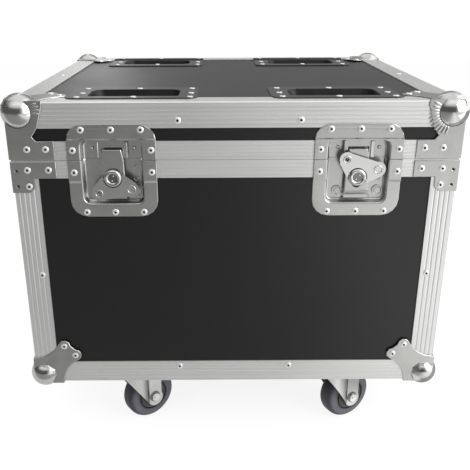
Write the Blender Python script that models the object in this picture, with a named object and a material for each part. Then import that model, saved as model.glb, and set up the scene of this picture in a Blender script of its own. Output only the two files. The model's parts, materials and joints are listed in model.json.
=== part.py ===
"""Carrying case: an aluminium-edged box with a hinged lid, turn latches, side handles and castors.

X runs to the right, Y to the back and Z up, in metres. The floor is at Z zero, under the castor wheels.
"""
import math

import bmesh
import bpy
from mathutils import Matrix, Vector

# The box, without its castors
case_width = 0.522
case_depth = 0.4675
joint_height = 0.3013
lid_height = 0.0673
castor_height = 0.106

# Running gap between pieces that touch
gap = 0.0003

# Panels and the extrusions round them
panel_thickness = 0.009
trim_thickness = 0.0015
edge_leg = 0.030
edge_bevel = 0.0012
base_rail_leg = 0.0216
lid_rail_leg = 0.0222
base_rail_web = 0.002
lid_rail_web = 0.005
rail_inner_leg = 0.012
tongue_place = 0.005
tongue_width = 0.003
tongue_height = 0.003
tongue_taper = 0.0006
groove_clearance = 0.0008

# Pressed steel sheet of the corners, braces, dishes and hinge leaves
sheet = 0.0012

# Ball corners
ball_radius = 0.0202
ball_inset = 0.0115
ball_wall = 0.0015
ball_rings = 8
ball_segments = 16
leaf_meet = 0.036
lobe_near = 0.0405
lobe_far = 0.054
lobe_radius = 0.008
arc_steps = 4
lid_leg_wide = 0.042
lid_leg_straight = 0.004
lid_leg_middle = 0.034
lid_leg_middle_drop = 0.030
lid_leg_waist = 0.0275
lid_leg_waist_drop = 0.0395
lid_leg_waist_flare = 0.004
lid_leg_foot = 0.0515
lid_leg_foot_drop = 0.0445
foot_joint_clearance = 0.0006

# Braces under the joint, at the corners of the base
brace_foot = 0.052
brace_foot_height = 0.020
brace_leg = 0.026
brace_height = 0.038
brace_bevel = 0.0064
brace_joint_clearance = 0.0013

# Latches
latch_side_inset = 0.1175
latch_drop = 0.0138
latch_width = 0.104
latch_height = 0.112
latch_round = 0.020
latch_pan_width = 0.072
latch_pan_low = 0.040
latch_pan_high = 0.037
latch_pan_round = 0.008
latch_pan_draft = 0.0015
latch_floor_depth = 0.0093
boss_radius = 0.006
boss_height = 0.001
boss_spread = 0.024
boss_height_on_dish = 0.0223
drain_width = 0.031
drain_height = 0.0024
drain_drop = 0.0355
keeper_width = 0.031
keeper_face_depth = 0.0028
keeper_foot = 0.002
keeper_pocket_width = 0.0244
keeper_pocket_top = 0.003
keeper_pocket_height = 0.0075

# Latch mechanism
knob_drop = 0.0075
knob_radius = 0.0108
knob_rim = 0.0026
knob_dome = 0.0012
knob_dome_share = 0.62
knob_dome_drop_share = 0.25
stem_radius = 0.005
trunnion_thickness = 0.001
wing_thickness = 0.0012
wing_shoulder = 0.0165
wing_cut_radius = 0.0125
wing_lobe_across = 0.0205
wing_lobe_down = 0.0175
wing_lobe_radius = 0.011
wing_flat_down = 0.0270
wing_hole_radius = 0.0022
wing_hole_sides = 8
wing_top = 0.001
wing_shoulder_angle = math.radians(55)
hook_thickness = 0.0015
hook_depth = 0.001
hook_top = 0.0255
hook_top_half = 0.011
hook_shoulder_half = 0.0135
hook_shoulder_drop = 0.013
hook_low_half = 0.0142
hook_low_drop = 0.018
latch_travel = 0.0078
left_wing_angle = math.radians(7)
right_wing_angle = math.radians(-18)

# Hinge across the back
hinge_side_inset = 0.061
hinge_leaf_height = 0.0195
knuckle_radius = 0.0027
hinge_pin_radius = 0.0012
knuckle_count = 7
hinge_sides = 10
lid_opening_angle = math.radians(105)

# Castor dishes in the lid
dish_outer_share = 0.2138
dish_length = 0.155
dish_start = 0.018
dish_width = 0.097
dish_round = 0.012
dish_pan_length = 0.113
dish_pan_width = 0.062
dish_pan_round = 0.014
dish_pan_draft = 0.007
dish_floor_depth = 0.018

# Side handles
handle_height = 0.165
handle_plate_length = 0.152
handle_plate_width = 0.104
handle_plate_round = 0.012
handle_pan_length = 0.118
handle_pan_width = 0.072
handle_pan_round = 0.008
handle_pan_draft = 0.002
handle_floor_depth = 0.014
bail_rod_radius = 0.0035
bail_grip_radius = 0.0075
bail_grip_length = 0.084
bail_span = 0.096
bail_drop = 0.040
bail_bend = 0.010
bail_pivot_rise = 0.022
bail_depth = 0.0055
ear_thickness = 0.005
ear_half_height = 0.007

# Castors
kingpin_side_inset = 0.1175
kingpin_inset = 0.064
castor_plate_length = 0.080
castor_plate_width = 0.062
castor_plate_round = 0.006
castor_plate_thickness = 0.0025
race_radius = 0.024
race_foot_radius = 0.022
race_height = 0.005
kingpin_radius = 0.004
kingpin_head_radius = 0.008
kingpin_head = 0.003
crown_radius = 0.0225
crown_thickness = 0.0055
castor_trail = 0.024
fork_sheet = 0.0025
fork_leg_end = 0.008
fork_leg_back = 0.015
fork_foot_angle = math.radians(145)
wheel_radius = 0.0375
wheel_width = 0.024
wheel_hub_width = 0.0278
wheel_hub_radius = 0.011
wheel_rim_radius = 0.0255
wheel_rim_inset = 0.003
wheel_bevel = 0.0045
wheel_segments = 20
axle_radius = 0.004
axle_nut_radius = 0.0068
axle_nut = 0.0045
axle_nut_sides = 6
swivels = {"front_left": 37.4, "front_right": 28.9, "rear_left": 31.0, "rear_right": 40.0}

# Sides of the case at each corner: left or right, front or back
corners = {"front_left": (-1, -1), "front_right": (1, -1), "rear_left": (-1, 1), "rear_right": (1, 1)}

# Cutting
overrun = 0.010
merge_distance = 0.00001
round_sides = 16

# Worked out from the sizes above
case_height = joint_height + lid_height
half_width = case_width / 2
hinge_length = case_width - 2 * hinge_side_inset
latch_spacing = case_width - 2 * latch_side_inset
latch_centre_height = joint_height - latch_drop
kingpin_spacing = case_width - 2 * kingpin_side_inset
dish_free_length = case_width - 2 * edge_leg - 2 * dish_length
dish_side_inset = edge_leg + dish_free_length * dish_outer_share
dish_spacing = case_width - 2 * dish_side_inset - dish_length
half_depth = case_depth / 2
box_low = castor_height
joint_level = box_low + joint_height
box_top = box_low + case_height
panel_inset = trim_thickness + gap
panel_inner = panel_inset + panel_thickness
rail_inner = panel_inner + gap + trim_thickness
skin_reach = gap + sheet
ball_reach = ball_radius - ball_inset
hinge_axis_out = knuckle_radius + gap
stop_reach = (hinge_axis_out - skin_reach - gap) / math.sin(lid_opening_angle - math.pi / 2)
rear_reach = max(ball_reach, hinge_axis_out + stop_reach)
case_y = (ball_reach - rear_reach) / 2
base_rim_level = joint_level - gap / 2
lid_rim_level = joint_level + gap / 2
wing_depth = -(skin_reach + gap + wing_thickness / 2)
wheel_axle_level = wheel_radius * math.cos(math.pi / wheel_segments)


def clear_scene():
    for old in list(bpy.data.objects):
        bpy.data.objects.remove(old, do_unlink=True)


def finish(name, colour, roughness, metallic):
    surface = bpy.data.materials.new(name)
    surface.use_nodes = True
    shader = surface.node_tree.nodes["Principled BSDF"]
    shader.inputs["Base Color"].default_value = (*colour, 1)
    shader.inputs["Roughness"].default_value = roughness
    shader.inputs["Metallic"].default_value = metallic
    return surface


def solid(name, shape):
    """Turns a bmesh into an object whose faces point outwards."""
    bmesh.ops.recalc_face_normals(shape, faces=shape.faces)
    mesh = bpy.data.meshes.new(name)
    shape.to_mesh(mesh)
    shape.free()
    piece = bpy.data.objects.new(name, mesh)
    bpy.context.scene.collection.objects.link(piece)
    return piece


def combine(body, tool, operation):
    """Adds, cuts or intersects two solids, and removes the second."""
    modifier = body.modifiers.new("combine", "BOOLEAN")
    modifier.operation = operation
    modifier.solver = "EXACT"
    modifier.object = tool
    depsgraph = bpy.context.evaluated_depsgraph_get()
    mesh = bpy.data.meshes.new_from_object(body.evaluated_get(depsgraph))
    body.modifiers.clear()
    body.data = mesh
    bpy.data.objects.remove(tool, do_unlink=True)
    return body


def paint(piece, surface):
    piece.data.materials.clear()
    piece.data.materials.append(surface)
    piece.data.shade_smooth()
    piece.data.set_sharp_from_angle(angle=math.radians(30))
    return piece


def on_axis(point, level, axis):
    """Puts a point of an outline at a level along an axis; the outline keeps X, Y, Z order."""
    place = list(point)
    place.insert(axis, level)
    return place


def loft(outline, level, far_outline, far_level, axis, name="solid"):
    """Closed solid between two outlines with the same number of points."""
    shape = bmesh.new()
    near = [shape.verts.new(on_axis(point, level, axis)) for point in outline]
    far = [shape.verts.new(on_axis(point, far_level, axis)) for point in far_outline]
    shape.faces.new(near)
    shape.faces.new(far[::-1])
    for index in range(len(near)):
        following = (index + 1) % len(near)
        shape.faces.new((near[index], near[following], far[following], far[index]))
    return solid(name, shape)


def prism(outline, low, high, axis, name="solid"):
    return loft(outline, low, outline, high, axis, name)


def block(low, high, name="solid"):
    corners = [(low[0], low[1]), (high[0], low[1]), (high[0], high[1]), (low[0], high[1])]
    return prism(corners, low[2], high[2], 2, name)


def arc(centre, radius, start, end, steps):
    """Points along an arc, both ends included, with angles in radians."""
    turns = [start + (end - start) * step / steps for step in range(steps + 1)]
    return [(centre[0] + radius * math.cos(turn), centre[1] + radius * math.sin(turn)) for turn in turns]


def rounded_outline(half_length, low, high, radius):
    """Rectangle with round corners, centred on its first axis."""
    quarter = math.pi / 2
    across = half_length - radius
    top = high - radius
    bottom = low + radius
    points = []
    for turn, corner in enumerate([(across, top), (-across, top), (-across, bottom), (across, bottom)]):
        points += arc(corner, radius, turn * quarter, (turn + 1) * quarter, arc_steps)
    return points


def turned(profile, segments, closed, name="solid"):
    """Turns a profile of radius and height about Z; a profile that starts and ends on Z isn't closed."""
    shape = bmesh.new()
    points = [shape.verts.new((radius, 0, height)) for radius, height in profile]
    pairs = list(zip(points, points[1:]))
    if closed:
        pairs.append((points[-1], points[0]))
    edges = [shape.edges.new(pair) for pair in pairs]
    bmesh.ops.spin(shape, geom=points + edges, cent=(0, 0, 0), axis=(0, 0, 1),
                   angle=2 * math.pi, steps=segments, use_merge=True)
    bmesh.ops.remove_doubles(shape, verts=shape.verts, dist=merge_distance)
    return solid(name, shape)


def rod(radius, low, high, axis, across=0.0, along=0.0, sides=round_sides, name="solid"):
    """Cylinder along an axis; across and along place it on the two other axes."""
    outline = arc((across, along), radius, 0, 2 * math.pi, sides)[:-1]
    return prism(outline, low, high, axis, name)


def move_mesh(piece, matrix):
    piece.data.transform(matrix)
    if matrix.determinant() < 0:
        piece.data.flip_normals()
    return piece


def marker(name, location, rotation=(0, 0, 0)):
    """Empty on a joint's axis or at a piece's seat."""
    empty = bpy.data.objects.new(name, None)
    empty.rotation_euler = rotation
    bpy.context.scene.collection.objects.link(empty)
    empty.location = location
    return empty


def hang(piece, parent, location=(0, 0, 0), rotation=(0, 0, 0)):
    piece.parent = parent
    piece.location = location
    piece.rotation_euler = rotation
    return piece


def copy_of(piece, name):
    twin = bpy.data.objects.new(name, piece.data)
    bpy.context.scene.collection.objects.link(twin)
    return twin


def ring(outline, level, name):
    """Mitred frame round the case; the outline holds distance in from the faces and height."""
    shape = bmesh.new()
    loops = []
    for side, end in ((-1, -1), (1, -1), (1, 1), (-1, 1)):
        loops.append([shape.verts.new((side * (half_width - depth), case_y + end * (half_depth - depth),
                                       level + height)) for depth, height in outline])
    for index, loop in enumerate(loops):
        following = loops[(index + 1) % len(loops)]
        for step in range(len(outline)):
            last = (step + 1) % len(outline)
            shape.faces.new((loop[step], loop[last], following[last], following[step]))
    return solid(name, shape)


def diagonal_block(distance):
    """Block past a plane square to the corner's diagonal, at a distance outwards from the ball's centre."""
    size = ball_radius * 2
    cutter = block((-size, -size, distance), (size, size, distance + size))
    outwards = Vector((-1, -1, -1)).to_track_quat("Z", "Y").to_matrix().to_4x4()
    centre = Matrix.Translation((ball_inset, ball_inset, ball_inset))
    return move_mesh(cutter, centre @ outwards)


def corner_place(side, end, top):
    """Matrix from a corner's own axes, which run inwards along the three edges, to the case."""
    level = box_top if top else box_low
    rise = -1 if top else 1
    place = Matrix.Translation((side * half_width, case_y + end * half_depth, level))
    return place @ Matrix.Diagonal((-side, -end, rise, 1))


def blunt_corners(piece, top):
    """Cuts the four corners of a frame or panel back to make room inside the corner balls."""
    for side in (-1, 1):
        for end in (-1, 1):
            cutter = diagonal_block(ball_radius - ball_wall - gap)
            combine(piece, move_mesh(cutter, corner_place(side, end, top)), "DIFFERENCE")
    return piece


def edge_outline():
    """Angle section: one leg up the face, one leg across, with a bevelled outer edge."""
    return [(edge_bevel, 0), (edge_leg, 0), (edge_leg, trim_thickness), (trim_thickness, trim_thickness),
            (trim_thickness, edge_leg), (0, edge_leg), (0, edge_bevel)]


def bottom_edge_frame(surface):
    frame = ring(edge_outline(), box_low, "bottom_edge_frame")
    return paint(blunt_corners(frame, False), surface)


def lid_edge_frame(surface):
    outline = [(depth, -height) for depth, height in edge_outline()]
    frame = ring(outline, box_top, "lid_edge_frame")
    return paint(blunt_corners(frame, True), surface)


def vertical_edges(surface):
    low = box_low + edge_leg + gap
    high = base_rim_level - base_rail_leg - gap
    for name, (side, end) in corners.items():
        angle = prism(edge_outline(), low, high, 2, "vertical_edge_" + name)
        place = Matrix.Translation((side * half_width, case_y + end * half_depth, 0))
        paint(move_mesh(angle, place @ Matrix.Diagonal((-side, -end, 1, 1))), surface)


def latch_notch():
    """Space that both latch dishes need in the front, through the panels and the rails' outer parts."""
    half = latch_pan_width / 2 + sheet + gap
    depth = latch_floor_depth + sheet + gap
    low = latch_centre_height - latch_pan_low - sheet - gap
    high = latch_centre_height + latch_pan_high + sheet + gap
    cutters = []
    for side in (-1, 1):
        centre = side * latch_spacing / 2
        cutters.append(block((centre - half, case_y - half_depth - overrun, box_low + low),
                             (centre + half, case_y - half_depth + depth, box_low + high)))
    return cutters


def cut_latch_notches(piece):
    for cutter in latch_notch():
        combine(piece, cutter, "DIFFERENCE")
    return piece


def base_rail(surface):
    slope = tongue_place + tongue_taper
    far = tongue_place + tongue_width
    outline = [(0, -base_rail_leg), (trim_thickness, -base_rail_leg), (trim_thickness, -base_rail_web),
               (panel_inner + gap, -base_rail_web), (panel_inner + gap, -rail_inner_leg),
               (rail_inner, -rail_inner_leg), (rail_inner, 0), (far, 0), (far - tongue_taper, tongue_height),
               (slope, tongue_height), (tongue_place, 0), (0, 0)]
    rail = ring(outline, base_rim_level, "base_closure_rail")
    return paint(cut_latch_notches(rail), surface)


def lid_rail(surface):
    near = tongue_place - groove_clearance
    far = tongue_place + tongue_width + groove_clearance
    roof = tongue_height + gap
    inner_leg = rail_inner_leg + lid_rail_web - base_rail_web
    outline = [(0, 0), (near, 0), (near + tongue_taper, roof), (far - tongue_taper, roof), (far, 0),
               (rail_inner, 0), (rail_inner, inner_leg), (panel_inner + gap, inner_leg),
               (panel_inner + gap, lid_rail_web), (trim_thickness, lid_rail_web),
               (trim_thickness, lid_rail_leg), (0, lid_rail_leg)]
    rail = ring(outline, lid_rim_level, "lid_closure_rail")
    return paint(cut_latch_notches(rail), surface)


def full_panel(level, name):
    """Panel across the whole case, inside the extrusions."""
    return block((panel_inset - half_width, case_y + panel_inset - half_depth, level),
                 (half_width - panel_inset, case_y + half_depth - panel_inset, level + panel_thickness), name)


def bottom_panel(surface):
    panel = full_panel(box_low + panel_inset, "bottom_panel")
    return paint(blunt_corners(panel, False), surface)


def wall_panels(surface):
    """Front and back walls run the full width, and the side walls stand between them."""
    low = box_low + panel_inner + gap
    high = base_rim_level - base_rail_web - gap
    outer = half_depth - panel_inset
    inner = half_depth - panel_inner
    wide = half_width - panel_inset
    front = block((-wide, case_y - outer, low), (wide, case_y - inner, high), "front_panel")
    paint(cut_latch_notches(front), surface)
    paint(block((-wide, case_y + inner, low), (wide, case_y + outer, high), "back_panel"), surface)
    reach = inner - gap
    for side, name in ((-1, "left_panel"), (1, "right_panel")):
        faces = sorted((side * (half_width - panel_inset), side * (half_width - panel_inner)))
        wall = block((faces[0], case_y - reach, low), (faces[1], case_y + reach, high), name)
        hole = prism(rounded_outline(handle_pan_length / 2 + sheet + gap, -handle_pan_width / 2 - sheet - gap,
                                     handle_pan_width / 2 + sheet + gap, handle_pan_round),
                     faces[0] - overrun, faces[1] + overrun, 0)
        move_mesh(hole, Matrix.Translation((0, case_y, box_low + handle_height)))
        paint(combine(wall, hole, "DIFFERENCE"), surface)


def lid_side_frame(surface):
    """Four strips glued into one frame under the lid's top panel."""
    low = lid_rail_web + gap
    high = box_top - lid_rim_level - panel_inner - gap
    outline = [(panel_inset, low), (panel_inner, low), (panel_inner, high), (panel_inset, high)]
    frame = ring(outline, lid_rim_level, "lid_side_frame")
    return paint(cut_latch_notches(frame), surface)


def lid_panel(surface):
    panel = full_panel(box_top - panel_inner, "lid_panel")
    blunt_corners(panel, True)
    centre_in = dish_start + dish_width / 2
    for side in (-1, 1):
        for end in (-1, 1):
            half_length = dish_pan_length / 2 + sheet + gap
            half_hole = dish_pan_width / 2 + sheet + gap
            outline = rounded_outline(half_length, -half_hole, half_hole, dish_pan_round)
            hole = prism(outline, box_top - panel_inner - overrun, box_top + overrun, 2)
            place = Matrix.Translation((side * dish_spacing / 2, case_y + end * (half_depth - centre_in), 0))
            combine(panel, move_mesh(hole, place), "DIFFERENCE")
    return paint(panel, surface)


def leaf_outline():
    """Three-cornered leaf: hollow arcs from the two edges to a pair of round lobes."""
    rise = lobe_far - leaf_meet
    radius = (lobe_near ** 2 + rise ** 2 - lobe_radius ** 2) / (2 * (rise + lobe_radius))
    towards = math.atan2(leaf_meet + radius - lobe_far, -lobe_near)
    start = -math.pi / 2
    hollow = arc((0, leaf_meet + radius), radius, start, towards - math.pi, arc_steps)
    lobe = arc((lobe_near, lobe_far), lobe_radius, towards, 0, arc_steps)
    upper = hollow + lobe[1:]
    lower = [(height, across) for across, height in upper[::-1]]
    return [(-skin_reach, -skin_reach), (-skin_reach, leaf_meet)] + upper + lower + [(leaf_meet, -skin_reach)]


def lid_leg_outline():
    """Leg that narrows from the ball to a waist, then widens into a foot beside the joint."""
    foot_end = case_height - joint_height - foot_joint_clearance
    return [(-skin_reach, -skin_reach), (-skin_reach, foot_end), (lid_leg_foot, foot_end),
            (lid_leg_foot, lid_leg_foot_drop), (lid_leg_waist + lid_leg_waist_flare, lid_leg_foot_drop),
            (lid_leg_waist, lid_leg_waist_drop), (lid_leg_middle, lid_leg_middle_drop),
            (lid_leg_wide, lid_leg_straight), (lid_leg_wide, -skin_reach)]


def ball_corner(outline, name):
    """Corner in its own axes: plates on the three faces, joined by a ball that caps the corner."""
    skin = prism(outline, -skin_reach, -gap, 1, name)
    combine(skin, prism(outline, -skin_reach, -gap, 0), "UNION")
    combine(skin, prism(leaf_outline(), -skin_reach, -gap, 2), "UNION")
    combine(skin, diagonal_block(ball_radius - ball_wall / 2), "DIFFERENCE")
    shape = bmesh.new()
    bmesh.ops.create_uvsphere(shape, u_segments=ball_segments, v_segments=ball_rings, radius=ball_radius,
                              matrix=Matrix.Translation((ball_inset, ball_inset, ball_inset)))
    combine(skin, solid("ball", shape), "UNION")
    size = ball_inset + ball_radius + overrun
    core = block((-gap, -gap, -gap), (size, size, size))
    combine(core, diagonal_block(ball_radius - ball_wall), "DIFFERENCE")
    return combine(skin, core, "DIFFERENCE")


def ball_corners(surface):
    lid_master = ball_corner(lid_leg_outline(), "lid_corner")
    base_master = ball_corner(leaf_outline(), "bottom_corner")
    pieces = []
    for name, (side, end) in corners.items():
        for master, top, kind in ((lid_master, True, "lid_corner_"), (base_master, False, "bottom_corner_")):
            corner = bpy.data.objects.new(kind + name, master.data.copy())
            bpy.context.scene.collection.objects.link(corner)
            paint(move_mesh(corner, corner_place(side, end, top)), surface)
            if top:
                pieces.append(corner)
    for master in (lid_master, base_master):
        bpy.data.objects.remove(master, do_unlink=True)
    return pieces


def base_braces(surface):
    """Right-angled plates that tie the base's rail to its vertical edges, round each corner."""
    top = joint_height - brace_joint_clearance
    outline = [(-skin_reach, top), (brace_foot, top), (brace_foot, top - brace_foot_height),
               (brace_leg, top - brace_foot_height), (brace_leg, top - brace_height + brace_bevel),
               (brace_leg - brace_bevel, top - brace_height), (-skin_reach, top - brace_height)]
    for name, (side, end) in corners.items():
        brace = prism(outline, -skin_reach, -gap, 1, "corner_brace_" + name)
        combine(brace, prism(outline, -skin_reach, -gap, 0), "UNION")
        paint(move_mesh(brace, corner_place(side, end, False)), surface)


def stepped_sheet(levels, end):
    """Section of a sheet that follows steps: each level holds where it starts and how deep its back lies."""
    start, depth = levels[0]
    back = [(depth, start)]
    front = [(depth - sheet, start)]
    for (place, depth), (_, before) in zip(levels[1:], levels):
        riser = place - sheet if depth < before else place + sheet
        back += [(before, place), (depth, place)]
        front += [(before - sheet, riser), (depth - sheet, riser)]
    back.append((depth, end))
    front.append((depth - sheet, end))
    return back, front


def pressed_dish(plate, pan, levels, floor_depth, draft, name):
    """Pressed dish in its own axes: X along it, Y into the case and Z across it.

    Plate and pan each hold a half length, a low and a high side, and a corner radius.
    """
    half, low, high, radius = plate
    back, front = stepped_sheet(levels, high)
    dish = prism(back + front[::-1], -half, half, 0, name)
    combine(dish, prism(rounded_outline(half, low, high, radius), -overrun, overrun, 1), "INTERSECT")
    pan_half, pan_low, pan_high, pan_radius = pan
    floor_back = floor_depth + sheet
    body = prism(front + [(floor_back, high), (floor_back, low)], -half, half, 0)
    outer = rounded_outline(pan_half + sheet, pan_low - sheet, pan_high + sheet, pan_radius + sheet)
    outer_floor = rounded_outline(pan_half + sheet - draft, pan_low - sheet + draft, pan_high + sheet - draft,
                                  pan_radius)
    combine(body, loft(outer, -overrun / 2, outer_floor, floor_back, 1), "INTERSECT")
    combine(dish, body, "UNION")
    inner = rounded_outline(pan_half, pan_low, pan_high, pan_radius)
    inner_floor = rounded_outline(pan_half - draft, pan_low + draft, pan_high - draft, pan_radius - sheet)
    return combine(dish, loft(inner, -overrun / 2, inner_floor, floor_depth, 1), "DIFFERENCE")


def latch_dishes(surface, lid_pivot):
    """Recessed dish in two halves, one each side of the joint, with the keeper block in the upper half."""
    low = -latch_height / 2
    high = latch_height / 2
    rail_low = base_rim_level - base_rail_leg - gap - box_low - latch_centre_height
    rail_high = lid_rim_level + lid_rail_leg + gap - box_low - latch_centre_height
    edge_low = case_height - edge_leg - gap - latch_centre_height
    on_panel = panel_inset - gap
    levels = [(low, on_panel), (rail_low, -gap), (rail_high, on_panel), (edge_low, -gap)]
    dish = pressed_dish((latch_width / 2, low, high, latch_round),
                        (latch_pan_width / 2, -latch_pan_low, latch_pan_high, latch_pan_round),
                        levels, latch_floor_depth, latch_pan_draft, "latch_dish")
    seam = joint_height - latch_centre_height
    reach = latch_width
    upper = bpy.data.objects.new("latch_upper", dish.data.copy())
    bpy.context.scene.collection.objects.link(upper)
    combine(dish, block((-reach, -reach, -reach), (reach, reach, seam - gap / 2)), "INTERSECT")
    combine(upper, block((-reach, -reach, seam + gap / 2), (reach, reach, reach)), "INTERSECT")
    for side in (-1, 1):
        boss = rod(boss_radius, latch_floor_depth - boss_height, latch_floor_depth + sheet / 2, 1,
                   side * boss_spread, -boss_height_on_dish)
        combine(dish, boss, "UNION")
    drain = block((-drain_width / 2, 0, -drain_drop - drain_height / 2),
                  (drain_width / 2, latch_floor_depth + overrun, -drain_drop + drain_height / 2))
    combine(dish, drain, "DIFFERENCE")
    keeper_low = seam + gap / 2 + keeper_foot
    keeper_high = latch_pan_high - gap
    keeper = block((-keeper_width / 2, keeper_face_depth, keeper_low),
                   (keeper_width / 2, latch_floor_depth + sheet / 2, keeper_high))
    pocket_top = hook_top + keeper_pocket_top
    pocket = block((-keeper_pocket_width / 2, 0, pocket_top - keeper_pocket_height),
                   (keeper_pocket_width / 2, latch_floor_depth - sheet, pocket_top))
    combine(keeper, pocket, "DIFFERENCE")
    combine(upper, keeper, "UNION")
    for half, kind, parent in ((dish, "lower", None), (upper, "upper", lid_pivot)):
        paint(half, surface)
        for side, name in ((-1, "left"), (1, "right")):
            place = Vector((side * latch_spacing / 2, case_y - half_depth, box_low + latch_centre_height))
            twin = copy_of(half, "latch_dish_" + kind + "_" + name)
            hang(twin, parent, place - parent.location if parent else place)
        bpy.data.objects.remove(half, do_unlink=True)


def knob_spindle():
    """Domed knob on a stem that reaches the dish floor, with a flat cross pin that carries the wing."""
    face = wing_depth - knob_rim / 2
    crown = face - knob_dome
    back = wing_depth + knob_rim / 2
    tail = latch_floor_depth - gap
    dome = (knob_radius * knob_dome_share, knob_dome * knob_dome_drop_share - crown)
    profile = [(0, -crown), dome, (knob_radius, -face),
               (knob_radius, -back), (stem_radius, -back), (stem_radius, -tail), (0, -tail)]
    spindle = turned(profile, round_sides, False)
    move_mesh(spindle, Matrix.Rotation(math.pi / 2, 4, "X"))
    reach = wing_cut_radius - gap
    half = trunnion_thickness / 2
    pin = block((-reach, wing_depth - half, -wing_top), (reach, wing_depth + half, wing_top))
    return combine(spindle, pin, "UNION")


def wing():
    """Butterfly wing: two round lobes below its fold line, cut out round the knob; one has a hole."""
    lobe = (wing_lobe_across, -wing_lobe_down)
    dip = math.asin((wing_flat_down - wing_lobe_down) / wing_lobe_radius)
    right = [(wing_cut_radius, wing_top), (wing_shoulder, wing_top)]
    right += arc(lobe, wing_lobe_radius, wing_shoulder_angle, -math.pi / 2, 2 * arc_steps)
    right.append((wing_lobe_across - wing_lobe_radius * math.cos(dip), -wing_flat_down))
    left = [(-across, height) for across, height in right[::-1]]
    cut = arc((0, 0), wing_cut_radius, math.pi, 2 * math.pi, 2 * arc_steps)
    half = wing_thickness / 2
    plate = prism(right + left + cut, -half, half, 1)
    hole = rod(wing_hole_radius, -overrun, overrun, 1, -wing_lobe_across, -wing_lobe_down,
               sides=wing_hole_sides)
    return combine(plate, hole, "DIFFERENCE")


def hook():
    """Flat hook plate that slides behind the knob, with a long hole for the stem."""
    shoulder = hook_top - hook_shoulder_drop
    low = -knob_drop - hook_low_drop
    outline = [(hook_top_half, hook_top), (-hook_top_half, hook_top), (-hook_shoulder_half, shoulder),
               (-hook_low_half, low), (hook_low_half, low), (hook_shoulder_half, shoulder)]
    plate = prism(outline, hook_depth, hook_depth + hook_thickness, 1)
    clear = stem_radius + gap
    top = arc((0, -knob_drop), clear, 0, math.pi, 2 * arc_steps)
    bottom = arc((0, -knob_drop - latch_travel), clear, math.pi, 2 * math.pi, 2 * arc_steps)
    return combine(plate, prism(top + bottom, 0, hook_depth + hook_thickness + overrun, 1), "DIFFERENCE")


def latch_mechanisms(knob_surface, plate_surface):
    spindle_master = paint(knob_spindle(), knob_surface)
    hook_master = paint(hook(), plate_surface)
    wing_master = paint(wing(), plate_surface)
    for side, name, tilt, flip in ((-1, "left", left_wing_angle, 0), (1, "right", right_wing_angle, math.pi)):
        across = side * latch_spacing / 2
        centre = Vector((across, case_y - half_depth, box_low + latch_centre_height))
        hang(copy_of(hook_master, "latch_hook_" + name), None, centre)
        pivot = marker("latch_turn_" + name, centre - Vector((0, 0, knob_drop)), (0, -tilt, 0))
        hang(copy_of(spindle_master, "latch_knob_" + name), pivot)
        hang(copy_of(wing_master, "latch_wing_" + name), pivot, (0, wing_depth, 0), (flip, 0, 0))
    for master in (spindle_master, hook_master, wing_master):
        bpy.data.objects.remove(master, do_unlink=True)


def knuckle_ranges(parity):
    """Stretches of the hinge that belong to one leaf, each short of its ends by half a gap."""
    pitch = hinge_length / knuckle_count
    first = -hinge_length / 2
    return [(first + index * pitch + gap / 2, first + (index + 1) * pitch - gap / 2)
            for index in range(knuckle_count) if index % 2 == parity]


def hinge_leaf(parity, name):
    """Leaf with its pin on X, Y towards the case and Z up, cut back round the other leaf's knuckles."""
    sheet_far = hinge_axis_out - gap
    sheet_near = sheet_far - sheet
    half = hinge_length / 2 - gap / 2
    leaf = block((-half, sheet_near, 0), (half, sheet_far, hinge_leaf_height), name)
    for low, high in knuckle_ranges(1 - parity):
        room = block((low - gap, sheet_near - gap, -gap), (high + gap, sheet_far + gap, knuckle_radius + gap))
        combine(leaf, room, "DIFFERENCE")
    for low, high in knuckle_ranges(parity):
        combine(leaf, rod(knuckle_radius, low, high, 0, sides=hinge_sides), "UNION")
    return leaf


def hinge(surface, lid_pivot):
    """Hinge across the back: the base leaf carries the pin, and stop lips on the lid leaf end its travel."""
    base = hinge_leaf(0, "hinge_base_leaf")
    pin_end = hinge_length / 2 - gap
    combine(base, rod(hinge_pin_radius, -pin_end, pin_end, 0, sides=hinge_sides), "UNION")
    lid = hinge_leaf(1, "hinge_lid_leaf")
    for low, high in knuckle_ranges(1):
        combine(lid, block((low, -stop_reach, 0), (high, 0, sheet)), "UNION")
    bore = rod(hinge_pin_radius + gap, -hinge_length, hinge_length, 0, sides=hinge_sides)
    combine(lid, bore, "DIFFERENCE")
    paint(move_mesh(base, Matrix.Diagonal((1, -1, -1, 1))), surface)
    paint(move_mesh(lid, Matrix.Diagonal((1, -1, 1, 1))), surface)
    base.location = lid_pivot.location
    hang(lid, lid_pivot)


def castor_dishes(surface, lid_pivot):
    """Dishes that take the castors of a case stacked on top; their outer sides lap the lid's extrusion."""
    start = -dish_width / 2
    leg_end = edge_leg + gap - dish_start - dish_width / 2
    levels = [(start, -gap), (leg_end, panel_inset - gap)]
    master = pressed_dish((dish_length / 2, start, -start, dish_round),
                          (dish_pan_length / 2, -dish_pan_width / 2, dish_pan_width / 2, dish_pan_round),
                          levels, dish_floor_depth, dish_pan_draft, "castor_dish")
    paint(master, surface)
    for name, (side, end) in corners.items():
        inset = half_depth - dish_start - dish_width / 2
        place = Vector((side * dish_spacing / 2, case_y + end * inset, box_top))
        facing = (-math.pi / 2, 0, 0 if end < 0 else math.pi)
        hang(copy_of(master, "castor_dish_" + name), lid_pivot, place - lid_pivot.location, facing)
    bpy.data.objects.remove(master, do_unlink=True)


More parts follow.
